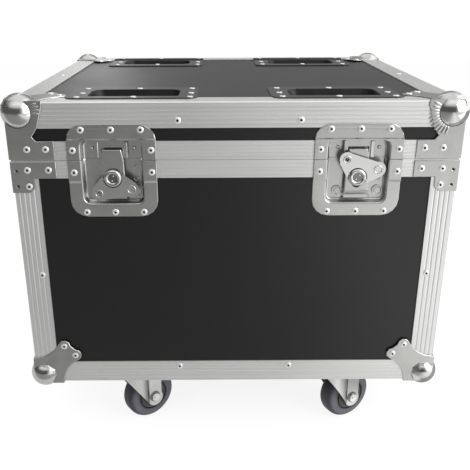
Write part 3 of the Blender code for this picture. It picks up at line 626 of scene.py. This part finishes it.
def on_skin(ends, normals):
    """An edge of the outer side of a plate, in the corner's own axes."""
    return any(max(end[axis] for end in ends) < -skin_reach + flat
               and min(normal[axis] for normal in normals) < -0.9 for axis in range(3))


def ball_cap(radius, inset):
    """The part of the ball outside the case's three faces, hollow round the point of the case."""
    ball = sphere(radius, [inset] * 3)
    boolean(ball, "DIFFERENCE", slab([-skin_gap] * 3, [3 * radius - skin_gap] * 3))
    clad(ball, [polished])
    return ball


crease_start = 0.0165
crease_half_width = 0.0017
crease_height = 0.0010


def crease(axis, turn, inset, length):
    """Pressed crease on one face: a long low drop that points away from the ball."""
    made = sphere(1, (0, 0, 0), 16)
    across, up = [way for way in range(3) if way != axis]
    along = Vector((0, 0, 0))
    along[across] = math.cos(turn)
    along[up] = math.sin(turn)
    outwards = Vector((0, 0, 0))
    outwards[axis] = -1
    turned = Matrix((along, outwards.cross(along), outwards)).transposed().to_4x4()
    place = Vector([inset] * 3) + along * (crease_start + length / 2)
    place[axis] = -skin_reach
    size = Matrix.Diagonal((length / 2, crease_half_width, crease_height, 1))
    made.data.transform(Matrix.Translation(place) @ turned @ size)
    return made


def corner_plates(node, top, radius, inset, creased):
    """Plates of the front left corner in its own axes, with their creases."""
    plates = corner_copy(node, top)
    boolean(plates, "DIFFERENCE", sphere(radius + ball_slit, [inset] * 3))
    ball_place = Vector([inset] * 3)
    round_edges(plates, lambda ends, normals: on_skin(ends, normals) and all(
        (end - ball_place).length > radius + ball_slit + skin_gap for end in ends), plate_edge)
    folds = [crease(axis, math.radians(turn), inset, length) for turn, length in creased for axis in (0, 1)]
    take(plates, *folds)
    bpy.ops.object.join()
    clad(plates, [zinc])
    return plates


def corner_rivets(name, place, body, upright, level=()):
    """Rivets of one corner, given in its own axes: on both upright faces and on the level one."""
    own = [((along, up, -skin_reach), (0, 0, -1)) for along, up in level]
    for along, up in upright:
        own += [((along, -skin_reach, up), (0, -1, 0)), ((-skin_reach, along, up), (-1, 0, 0))]
    spots = [(place @ Vector(point), place.to_3x3() @ Vector(out)) for point, out in own]
    rivets(name + "_rivets", spots, body)


beside_ball = ((0.0405, 0.0540), (0.0540, 0.0405))
on_leg = ((0.0205, 0.0540), (0.0420, 0.0540))
few = ((-27, 0.010), (-18, 0.011), (-9, 0.011), (0, 0.009))
many = ((-26, 0.0105), (-16, 0.0105), (-6, 0.0105), (4, 0.0110), (14, 0.0115), (24, 0.0120), (34, 0.0125),
        (44, 0.0125), (54, 0.0125), (64, 0.0120), (74, 0.0110))
for kind, top, body, radius, inset in (("lid_corner_", True, "lid", 0.0215, 0.0128),
                                       ("bottom_corner_", False, "base", 0.0192, 0.0105)):
    ball = ball_cap(radius, inset)
    for side, creased in ((-1, few if top else ()), (1, many if top else ())):
        plates = corner_plates(kind + "front_left", top, radius, inset, creased)
        for name, (across, end) in corner_sides.items():
            if across != side:
                continue
            place = corner_matrix(side, end, top)
            for master, part in ((plates, "_plates"), (ball, "_ball")):
                finish_piece(placed(master, kind + name + part, place), None, body, "zinc_steel", kind + name)
            corner_rivets(kind + name, place, body, on_leg if top else beside_ball, beside_ball)
        discard(plates)
    discard(ball)


# Braces: right-angled plates of the same steel, folded round the corner under the joint, with three rivets in
# each leg and two small dimples beside the fold, painted near-black inside as painted shade in their hollows.
# Painted shade: a near-black, faintly mottled material for the insides of the dimples.
dimple_shade = Finish("dimple_painted_shade", Metallic=0.0, Specular_IOR_Level=0.4)
dimple_mottle = dimple_shade.clouded(900.0, 2.0, (0.010, 0.010, 0.010), (0.030, 0.029, 0.027))
dimple_shade.set("Roughness", 0.35 + 0.2 * dimple_mottle)
dimple_radius = 0.0019
dimples = [spot for up in (0.2888, 0.2702) for spot in ((0.0056, -0.0024, up), (-0.0024, 0.0056, up))]
brace = corner_copy("corner_brace_front_left", False)
boolean(brace, "DIFFERENCE", *[sphere(dimple_radius, spot, 20) for spot in dimples])
round_edges(brace, on_skin, plate_edge)
# The faces inside the dimples take the painted shade.
clad(brace, [zinc, dimple_shade.material], lambda face: max(abs(part) for part in face.normal) < 0.995
     and any((face.center - Vector(spot)).length < dimple_radius + 0.00002 for spot in dimples))
for name, sides in corner_sides.items():
    place = corner_matrix(*sides, False)
    node = "corner_brace_" + name
    finish_piece(placed(brace, node + "_plate", place), None, "base", "zinc_steel", node)
    corner_rivets(node, place, "base", ((0.0185, 0.2900), (0.0430, 0.2900), (0.0188, 0.2702)))
discard(brace)


# Hinge: a long steel hinge riveted over the joint at the back, with a pin through its knuckles.
# Its leaves are the same zinc-plated sheet as the corners.
joints = {joint["name"]: joint for joint in frame["joints"]}
hinge_level = joints["lid_hinge"]["pos_m"][2]
hinge_pitch = 0.062
leaf_middle = 0.0125
for node, body, rise in (("hinge_base_leaf", "base", -leaf_middle), ("hinge_lid_leaf", "lid", leaf_middle)):
    leaf = solid_copy(node, node + "_steel")
    soften(leaf, 0.0002)
    finish_piece(leaf, zinc, body, "zinc_steel", node)
    rivets(node + "_rivets", [((column * hinge_pitch, case_high.y + skin_reach, hinge_level + rise), (0, 1, 0))
                              for column in range(-3, 4)], body, 0.85)


# Castor dishes: four steel trays let into the lid for the castors of a case stacked on top. Their sheet is
# coated dark grey, their flange steps over the edge extrusion, and eight rivets hold each of them. The inside
# of the well is painted near-black, as painted shade.
def coated(name, dark, pale, roughness):
    finish = Finish(name, Metallic=0.6)
    cloud = finish.clouded(45.0, 3.0, dark, pale)
    rub = finish.noise(220.0)
    finish.set("Roughness", roughness + 0.12 * cloud + 0.05 * rub)
    finish.bump(rub, 0.08, 0.0002)
    return finish.material


dish_grey = coated("dish_coating", (0.055, 0.055, 0.057), (0.085, 0.085, 0.088), 0.28)
# Painted shade: a near-black copy of the coating for the inside of the well.
dish_recess_shade = coated("dish_recess_painted_shade", (0.012, 0.012, 0.012), (0.022, 0.022, 0.022), 0.34)
well_half = (0.0565, 0.0310)
flange_step = 0.0018
dish_columns = (-0.066, 0, 0.066)
for name, (side, end) in corner_sides.items():
    node = "castor_dish_" + name
    dish = solid_copy(node, node + "_tray")
    soften(dish, 0.0007)
    low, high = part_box(node)
    centre = (low + high) / 2
    # The faces of the well take the painted shade.
    clad(dish, [dish_grey, dish_recess_shade], lambda face: face.center.z < high.z - 0.0035
         and all(abs(face.center[axis] - centre[axis]) < well_half[axis] for axis in (0, 1)))
    finish_piece(dish, None, "lid", "dish_steel", node)
    spots = []
    across_middle = centre.x + (0.0030 if side < 0 else 0.0005)
    for inset, columns in ((0.0245, dish_columns), (0.0640, dish_columns[::2]), (0.1010, dish_columns)):
        level = high.z if inset < edge_leg else high.z - flange_step
        spots += [((across_middle + across, inside(1, end, inset), level), (0, 0, 1)) for across in columns]
    rivets(node + "_rivets", spots, "lid", 0.95)


# Latches: recessed turn latches of zinc-plated steel. The dish is pressed in two halves; the upper one holds
# the keeper, and the lower one the hook that a chromed knob draws, with a folding wing to turn it by.
facing_front = Matrix.Rotation(math.pi / 2, 4, "X")
latch_across = 0.1435
latch_up = 0.2875
# Where the parts of a dish lie from the latch's centre, by which its edges are told apart.
joint_up, joint_reach = 0.0138, 0.0004
flange_back = 0.0004
pan_across, pan_low, pan_high = 0.0364, -0.0410, 0.0345
outline_across, outline_up = 0.0400, 0.0430
floor_depth = 0.0091
opening_across, opening_low = 0.0310, -0.0300
emboss_across, emboss_down, emboss_reach, emboss_depth = 0.0240, 0.0223, 0.0063, 0.0083


def latch_centre(side):
    return Vector((side * latch_across, case_low.y, floor_side + latch_up))


def latch_copy(node):
    """A piece of the left latch, moved so that the centre of the latch is at the origin."""
    piece = solid_copy(node, "latch_master")
    piece.data.transform(Matrix.Translation(-latch_centre(-1)))
    return piece


def disc(radius, low, high, sides, across=0.0, up=0.0):
    """Plain disc that is to face the front: its depth runs from low to high, out of the case."""
    bpy.ops.mesh.primitive_cylinder_add(vertices=sides, radius=radius, depth=high - low,
                                        location=(across, up, (low + high) / 2))
    return laid_down()


def ring(radius, thickness, height, across, up):
    """Embossed ring that is to face the front."""
    bpy.ops.mesh.primitive_torus_add(major_radius=radius, minor_radius=thickness, major_segments=40,
                                     minor_segments=14, location=(across, up, height))
    return laid_down()


def joined(name, *pieces):
    """Pieces made into one, turned to face the front."""
    take(*pieces)
    bpy.ops.object.join()
    pieces[0].name = name
    pieces[0].data.transform(facing_front)
    return pieces[0]


def terrace(piece, steps):
    """Insets the middle of a disc's face again and again, each time inwards and up or down."""
    with editing(piece):
        for inwards, rise in steps:
            choose_faces(piece, lambda centre, normal: normal.z > 0.99
                         and math.hypot(centre.x, centre.y) < flat)
            bpy.ops.mesh.inset(thickness=inwards, depth=rise)


def shift_points(piece, wanted, move):
    """Moves the wanted corners of a piece."""
    with editing(piece):
        choose(piece, "VERT", lambda corner: wanted(corner.co))
        bpy.ops.transform.translate(value=move)


def plain_pan(dish):
    """Flattens the floor of the pan and cuts its faces into triangles, ready to be rounded."""
    shift_points(dish, lambda point: abs(point.y - emboss_depth) < 2 * flat
                 and math.hypot(abs(point.x) - emboss_across, point.z + emboss_down) < emboss_reach,
                 (0, 0.0010, 0))
    with editing(dish):
        bpy.ops.mesh.select_mode(type="FACE")
        make_whole()
        bpy.ops.mesh.quads_convert_to_tris()


def on_joint(ends):
    """An edge along the joint between the two halves of the dish."""
    return all(abs(end.z - joint_up) < joint_reach for end in ends)


def turned_down(ends, normals):
    """An edge where the front of a flange turns down, away from the joint."""
    facings = [normal.y for normal in normals]
    return (all(end.y < flange_back for end in ends) and min(facings) < -0.8 and max(facings) > -0.5
            and not on_joint(ends))


def at_pan(ends, normals):
    return (turned_down(ends, normals)
            and all(abs(end.x) < pan_across and pan_low < end.z < pan_high for end in ends))


def at_outline(ends, normals):
    return (turned_down(ends, normals)
            and any(abs(end.x) > outline_across or abs(end.z) > outline_up for end in ends))


def at_floor(ends, normals):
    """An edge where a wall of the pan meets its floor."""
    inner = all(abs(end.x) < opening_across and end.z > opening_low for end in ends)
    deep = all(end.y > floor_depth for end in ends) and min(normal.y for normal in normals) < -0.9
    return deep and not inner and not on_joint(ends)


def at_joint(ends, normals):
    """The front edge of the lower flange, along the joint."""
    return on_joint(ends) and all(end.y < -skin_reach + flat for end in ends)


masters = []
for half, body, level, rise, slope in (("lower", "base", -0.00945, -0.0016, -0.0030),
                                       ("upper", "lid", 0.03765, 0.0, 0.0012)):
    dish = latch_copy("latch_dish_" + half + "_left")
    shift_points(dish, lambda point: point.y < skin_gap + flat and abs(point.z - level) < flat, (0, 0, rise))
    shift_points(dish, lambda point: abs(point.y - skin_gap) < flat and abs(point.z - level - rise) < flat,
                 (0, 0, slope))
    plain_pan(dish)
    round_edges(dish, at_floor, 0.0025, 4)
    round_edges(dish, at_pan, 0.0020, 4)
    round_edges(dish, at_outline, plate_edge, 4)
    if half == "lower":
        round_edges(dish, at_joint, 0.0007, 1)
    masters.append((dish, "latch_dish_" + half + "_", "_pressing", body, zinc, True))

keeper_parts = [slab((0.0138, 0.0156, -0.0034), (0.0184, 0.0350, -0.0010)),
                slab((-0.0170, 0.0160, -0.0034), (-0.0155, 0.0350, -0.0018))]
keeper_parts += [sphere(0.0026, (across, 0.0260, -0.0103), 24) for across in (-0.0235, 0.0255)]
keeper = joined("latch_keeper", *keeper_parts)
soften(keeper, 0.0009, 3)
masters.append((keeper, "latch_keeper_", "", "lid", polished, False))

boss_foot, boss_face = -0.0098, -0.0079
bosses = []
for across, up, size in ((-0.0216, -0.0266, 0.0062), (0.0268, -0.0266, 0.0066), (0.0262, -0.0105, 0.0034),
                         (0.0262, 0.0032, 0.0028)):
    boss = disc(size, boss_foot, boss_face, 36)
    terrace(boss, ((size * 0.22, 0.0), (size * 0.12, -0.0011), (size * 0.30, 0.0004)))
    boss.data.transform(Matrix.Translation((across, up, 0)))
    bosses.append(boss)
boss_group = joined("latch_bosses", *bosses)
soften(boss_group, 0.0003, 2, 45)
masters.append((boss_group, "latch_bosses_", "", "base", zinc, False))

hook = latch_copy("latch_hook_left")
round_edges(hook, lambda ends, normals: all(abs(end.x) > 0.0105 and end.y < 0.0011 for end in ends)
            and abs(ends[0].z - ends[1].z) > 0.005, 0.0013)
lip = joined("latch_lip", slab((-0.0144, -0.0278, -0.0022), (0.0144, -0.0252, -0.0010)),
             slab((-0.0150, -0.0338, -0.0016), (0.0150, -0.0286, -0.0004)))
take(hook, lip)
bpy.ops.object.join()
round_edges(hook, lambda ends, normals: all(end.y < 0.0024 for end in ends)
            and min(normal.y for normal in normals) < -0.9, 0.0008)
masters.append((hook, "latch_hook_", "_plate", "hook_", zinc, True))

upper_spots = ((-0.0337, 0.0496), (0.0008, 0.0496), (0.0348, 0.0496), (-0.0447, 0.0258), (0.0461, 0.0258))
lower_spots = ((-0.0335, -0.0502), (0.0006, -0.0502), (0.0347, -0.0502), (-0.0447, -0.0006), (0.0461, -0.0006))
for side, name in ((-1, "left"), (1, "right")):
    centre = latch_centre(side)
    for master, node, ending, body, material, stands_in in masters:
        piece = placed(master, node + name + ending, Matrix.Translation(centre), 26)
        rides_on = body + name if body == "hook_" else body
        nodes = [node + name] if stands_in else []
        finish_piece(piece, material, rides_on, "zinc_steel", *nodes)
    for half, body, spots in (("upper_", "lid", upper_spots), ("lower_", "base", lower_spots)):
        rivets("latch_rivets_" + half + name,
               [(centre + Vector((across, skin_gap if up < -0.01 else -skin_reach, up)), (0, -1, 0))
                for across, up in spots], body)
discard(*[master[0] for master in masters])

cut_half = 0.004
ring_wire = 0.0007
wing_half = 0.0006
lobe_across = 0.0192
lobe_up = 0.0163
wing = slab((-0.0262, -0.0034, -wing_half), (0.0262, 0.0245, wing_half))
with editing(wing):
    for way in (-1, 1):
        for point, square in (((0.0145, -0.0015), (0.683, -0.730)), ((0.0256, 0.0097), (0.930, 0.370))):
            bpy.ops.mesh.select_all(action="SELECT")
            bpy.ops.mesh.bisect(plane_co=(way * point[0], point[1], 0), use_fill=True, clear_outer=True,
                                plane_no=(way * square[0], square[1], 0))
boolean(wing, "UNION", disc(0.0088, -wing_half, wing_half, 48, -lobe_across, lobe_up),
        disc(0.0092, -wing_half, wing_half, 48, lobe_across, lobe_up))
boolean(wing, "DIFFERENCE", disc(0.0114, -cut_half, cut_half, 64),
        disc(0.0026, -cut_half, cut_half, 28, -lobe_across, lobe_up))
take(wing, ring(0.0042, ring_wire, wing_half, -lobe_across, lobe_up),
     ring(0.0046, ring_wire, wing_half, 0.0196, 0.0161))
bpy.ops.object.join()
soften(wing, 0.0005, 3)

knob_chrome = plated("knob_chrome", (0.60, 0.60, 0.595), 0.07, 0.5)
# Painted shade and reflection: the recessed middle of the knob is a dark grey copy of the chrome.
knob_recess_shade = plated("knob_recess_shade", (0.22, 0.22, 0.22), 0.16)
pivot = Vector(joints["wing_fold_left"]["pos_m"])
knob_low, knob_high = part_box("latch_knob_left")
crown = pivot.y - knob_low.y
knob_radius = 0.0104
recess_radius, recess_depth = 0.0063, 0.0012
knob = disc(knob_radius, crown - 0.0044, crown - 0.0022, 64)
terrace(knob, ((0.0005, 0.0012), (0.0010, 0.0007), (0.0009, 0.0003), (0.0010, -0.0002), (0.0009, -0.0005),
               (0.0005, -0.0005), (0.0002, -0.0004), (0.0020, 0.0)))
pin = disc(0.0010, -0.0110, 0.0110, 16)
pin.data.transform(Matrix.Rotation(math.pi / 2, 4, "Y"))
stem = disc(0.0050, pivot.y - knob_high.y, crown - 0.0030, 32)
take(knob, stem, pin, *[sphere(0.0011, (way * 0.0012, way * 0.0027, crown - 0.0016), 16) for way in (-1, 1)])
bpy.ops.object.join()
# The floor of the recess takes the painted shade.
clad(knob, [knob_chrome, knob_recess_shade], lambda face: math.hypot(face.center.x, face.center.y) < recess_radius
     and face.normal.z > 0.98 and face.center.z < crown - recess_depth)

for name, down in (("left", -1), ("right", 1)):
    fold = joints["wing_fold_" + name]
    axis = Vector(fold["axis"])
    tilt = math.atan2(axis.z, axis.x) if axis.x > 0 else math.atan2(-axis.z, -axis.x)
    turned = Matrix.Translation(fold["pos_m"]) @ Matrix.Rotation(-tilt, 4, "Y") @ facing_front
    piece = placed(wing, "latch_wing_" + name + "_plate", turned @ Matrix.Diagonal((1, down, 1, 1)))
    finish_piece(piece, polished, "wing_" + name, "zinc_steel", "latch_wing_" + name)
    piece = placed(knob, "latch_knob_" + name + "_turned", turned, 50)
    finish_piece(piece, None, "knob_" + name, "knob_chrome", "latch_knob_" + name)
discard(wing, knob)


# Side handles: a pressed dish with two ears, riveted over a hole in the side panel, and a bent steel rod with a
# black rubber grip that drops back into the dish when it is let go.
grip_rubber = Finish("grip_rubber", Metallic=0.0, Specular_IOR_Level=0.35)
cloud = grip_rubber.clouded(160.0, 3.0, (0.012, 0.012, 0.012), (0.022, 0.022, 0.022))
grip_rubber.set("Roughness", 0.55 + 0.15 * cloud)
grip_rubber.bump(cloud, 0.15, 0.0002)
grip_drop = 0.040
grip_radius = 0.0085
grip_half = 0.0425
handle_spots = [(along, up) for up in (-0.044, 0.044) for along in (-0.067, 0, 0.067)]
handle_spots += [(-0.0675, 0), (0.0675, 0)]
for side, name in ((-1, "left"), (1, "right")):
    node = "handle_dish_" + name
    dish = solid_copy(node, node + "_pressing")
    soften(dish, 0.0005)
    finish_piece(dish, zinc, "base", "zinc_steel", node)
    low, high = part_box(node)
    centre = (low + high) / 2
    rivets(node + "_rivets", [((inside(0, side, skin_gap), centre.y + along, centre.z + up), (side, 0, 0))
                              for along, up in handle_spots], "base")
    node = "handle_bail_" + name
    bail = solid_copy(node, node + "_rod")
    even_faces(bail, 45)
    pivot = Vector(joints["handle_swing_" + name]["pos_m"])
    clad(bail, [zinc, grip_rubber.material], lambda face: abs(face.center.y - pivot.y) < grip_half
         and math.hypot(face.center.x - pivot.x, face.center.z - pivot.z + grip_drop) < grip_radius)
    finish_piece(bail, None, "bail_" + name, "bail_steel", node)


# Castors: swivel castors under the floor. The fork is pressed from one sheet, with a skirt round the kingpin
# that runs into two flat legs; painted shade darkens the skirt towards the bend. A bolt with a dark washer at
# each side carries the wheel, grey rubber on a hub with a black bearing ring.
def rubber(name, dark, pale, roughness):
    finish = Finish(name, Metallic=0.0, Specular_IOR_Level=0.45)
    cloud = finish.clouded(90.0, 4.0, dark, pale)
    finish.set("Roughness", roughness + 0.2 * cloud)
    finish.bump(cloud, 0.12, 0.0003)
    return finish


bright_zinc = plated("castor_zinc", (0.66, 0.66, 0.65), 0.24)
bolt_steel = plated("bolt_steel", (0.86, 0.86, 0.85), 0.10, 0.6)
washer_steel = plated("washer_steel", (0.24, 0.24, 0.235), 0.22)
fork_zinc = Finish("fork_zinc", Metallic=1.0)
cloud = fork_zinc.clouded(55.0, 4.0, (0.57, 0.57, 0.56), (0.76, 0.76, 0.75))
# Painted shade: the skirt darkens towards its bend with the legs, as far as the attribute written below says.
fork_zinc.stained(fork_zinc.attribute("bend_shade"), (0.13, 0.13, 0.125))
fork_zinc.set("Roughness", 0.24 + 0.12 * cloud)
fork_zinc.bump(cloud, 0.08, 0.0002)
tyre = rubber("tyre_rubber", (0.024, 0.024, 0.027), (0.042, 0.042, 0.049), 0.42)
reach = tyre.attribute("reach")
# Painted highlight: a paler band on the tyre's rounded shoulder, where light falls on it.
shoulder_sheen = tyre.ramp(reach, 0.56, 0.70, 0, 1) * tyre.ramp(reach, 0.80, 0.97, 1, 0)
tyre.stained(shoulder_sheen, tyre.blend(tyre.noise(90.0, 4.0), (0.105, 0.102, 0.124), (0.175, 0.170, 0.205)))
hub_olive = rubber("hub_olive", (0.050, 0.052, 0.046), (0.072, 0.075, 0.066), 0.40)
seal_black = rubber("seal_black", (0.004, 0.004, 0.004), (0.008, 0.008, 0.008), 0.35)

wheel_radius = 0.0370
wheel_half = 0.0139
tread_round = 0.0098
seal_radius = 0.0219
hub_radius = 0.0203
wheel = disc(wheel_radius, -wheel_half, wheel_half, 96)
profile = ((0.0150, 0.0), (0.0003, -0.0012), (0.0012, 0.0), (0.0003, 0.0012), (0.0090, 0.0004),
           (0.0006, -0.0008))
terrace(wheel, profile)
wheel.data.transform(Matrix.Rotation(math.pi, 4, "X"))
terrace(wheel, profile)
round_edges(wheel, lambda ends, normals: all(math.hypot(end.x, end.y) > wheel_radius - flat for end in ends)
            and abs(ends[0].z - ends[1].z) < flat, tread_round, 9)
boolean(wheel, "DIFFERENCE", disc(0.0043, -0.02, 0.02, 32))


def wheel_part(face):
    """Number of a wheel's material: tyre, bearing seal or hub."""
    across = math.hypot(face.center.x, face.center.y)
    return 0 if across > seal_radius else 1 if across > hub_radius else 2


clad(wheel, [tyre.material, seal_black.material, hub_olive.material], wheel_part)
values = wheel.data.attributes.new("reach", "FLOAT", "POINT")
for vertex, value in zip(wheel.data.vertices, values.data):
    value.value = math.hypot(vertex.co.x, vertex.co.y) / wheel_radius

crown_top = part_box("castor_fork_front_left")[1].z
crown_low = crown_top - 0.0055
axle = joints["wheel_spin_front_left"]["pos_m"][2]
trail = 0.0240
skirt_out, skirt_in = 0.0240, 0.0215
leg_in, leg_out = 0.0160, 0.0185
leg_back, leg_front = 0.0140, 0.0356
foot_radius = 0.0118
foot_along = 0.0255
foot_level = axle - 0.004
bend = 0.0146
overlap = 0.001


def both_sides(near, far):
    """The same stretch across the castor at its right and its left."""
    return (near, far), (-far, -near)


wedge = slab((-0.09, -0.05, -0.10), (0.0, 0.05, 0.10))
wedge.data.transform(Matrix.Translation((0.0160, 0, 0.0250)) @ Matrix.Rotation(math.radians(-33.2), 4, "Y"))
fork = disc(skirt_out, 0.0180, crown_top, 72)
boolean(fork, "DIFFERENCE", disc(skirt_in, 0.0, crown_low, 72),
        slab((-0.04, -bend, 0.0), (0.04, bend, crown_low)), wedge)
boolean(fork, "UNION", slab((0.0, -leg_out, crown_low), (leg_front, leg_out, crown_top)))
for near, far in both_sides(leg_in, leg_out):
    foot = disc(foot_radius, near, far, 48, foot_along, foot_level)
    foot.data.transform(facing_front)
    boolean(fork, "UNION", slab((leg_back, near, foot_level), (leg_front, far, crown_low + overlap)), foot)
boolean(fork, "DIFFERENCE", disc(0.0044, crown_low - overlap, crown_top + overlap, 24))
for near, far in both_sides(0.0174, 0.0200):
    boolean(fork, "DIFFERENCE", slab((0.0143, near, axle - 0.006), (0.0152, far, crown_low)))
soften(fork, 0.0006, 3, 40)
clad(fork, [fork_zinc.material])
# Painted shade: skirt corners go from no shade near the kingpin's line to full shade at the bend.
bend_shades = fork.data.attributes.new("bend_shade", "FLOAT", "CORNER")
for face in fork.data.polygons:
    for corner in face.loop_indices:
        along = fork.data.vertices[fork.data.loops[corner].vertex_index].co.x
        in_bend = min(1.0, max(0.0, (along - 0.0010) / 0.0110))
        bend_shades.data[corner].value = in_bend if face.center.x < bend and face.center.z < crown_low else 0.0

shank_radius, washer_radius, nut_radius, tip_radius = 0.0040, 0.0082, 0.0064, 0.0032
washer_face = 0.0194
bolt_parts = [disc(shank_radius, -0.0165, 0.0165, 24, trail, axle)]
bolt_parts += [disc(washer_radius, near, far, 32, trail, axle) for near, far in both_sides(0.0184, 0.0193)]
for near, far in both_sides(0.0190, 0.0226):
    bolt_parts += [disc(nut_radius, near, far, 6, trail, axle),
                   disc(tip_radius, near * 1.01, far * 1.05, 24, trail, axle)]
bolt = joined("castor_bolt", *bolt_parts)
soften(bolt, 0.0007, 2, 25)
clad(bolt, [bolt_steel, washer_steel], lambda face: abs(face.center.y) < washer_face)
take(fork, bolt)
bpy.ops.object.join()

for name in corner_sides:
    node = "castor_plate_" + name
    piece = solid_copy(node, node + "_steel")
    soften(piece, 0.0005)
    finish_piece(piece, bright_zinc, "base", "zinc_steel", node)
    spin = joints["wheel_spin_" + name]
    swivel = joints["castor_swivel_" + name]["pos_m"]
    toward = Vector(spin["pos_m"]) - Vector(swivel)
    heading = Matrix.Rotation(math.atan2(toward.y, toward.x), 4, "Z")
    piece = placed(fork, "castor_fork_" + name + "_steel",
                   Matrix.Translation((swivel[0], swivel[1], 0)) @ heading)
    finish_piece(piece, None, "fork_" + name, "zinc_steel", "castor_fork_" + name)
    turned = Matrix.Translation(spin["pos_m"]) @ turned_to(spin["axis"])
    piece = placed(wheel, "castor_wheel_" + name + "_rubber", turned)
    finish_piece(piece, None, "wheel_" + name, "wheel_rubber", "castor_wheel_" + name)
discard(fork, wheel, rivet_master)
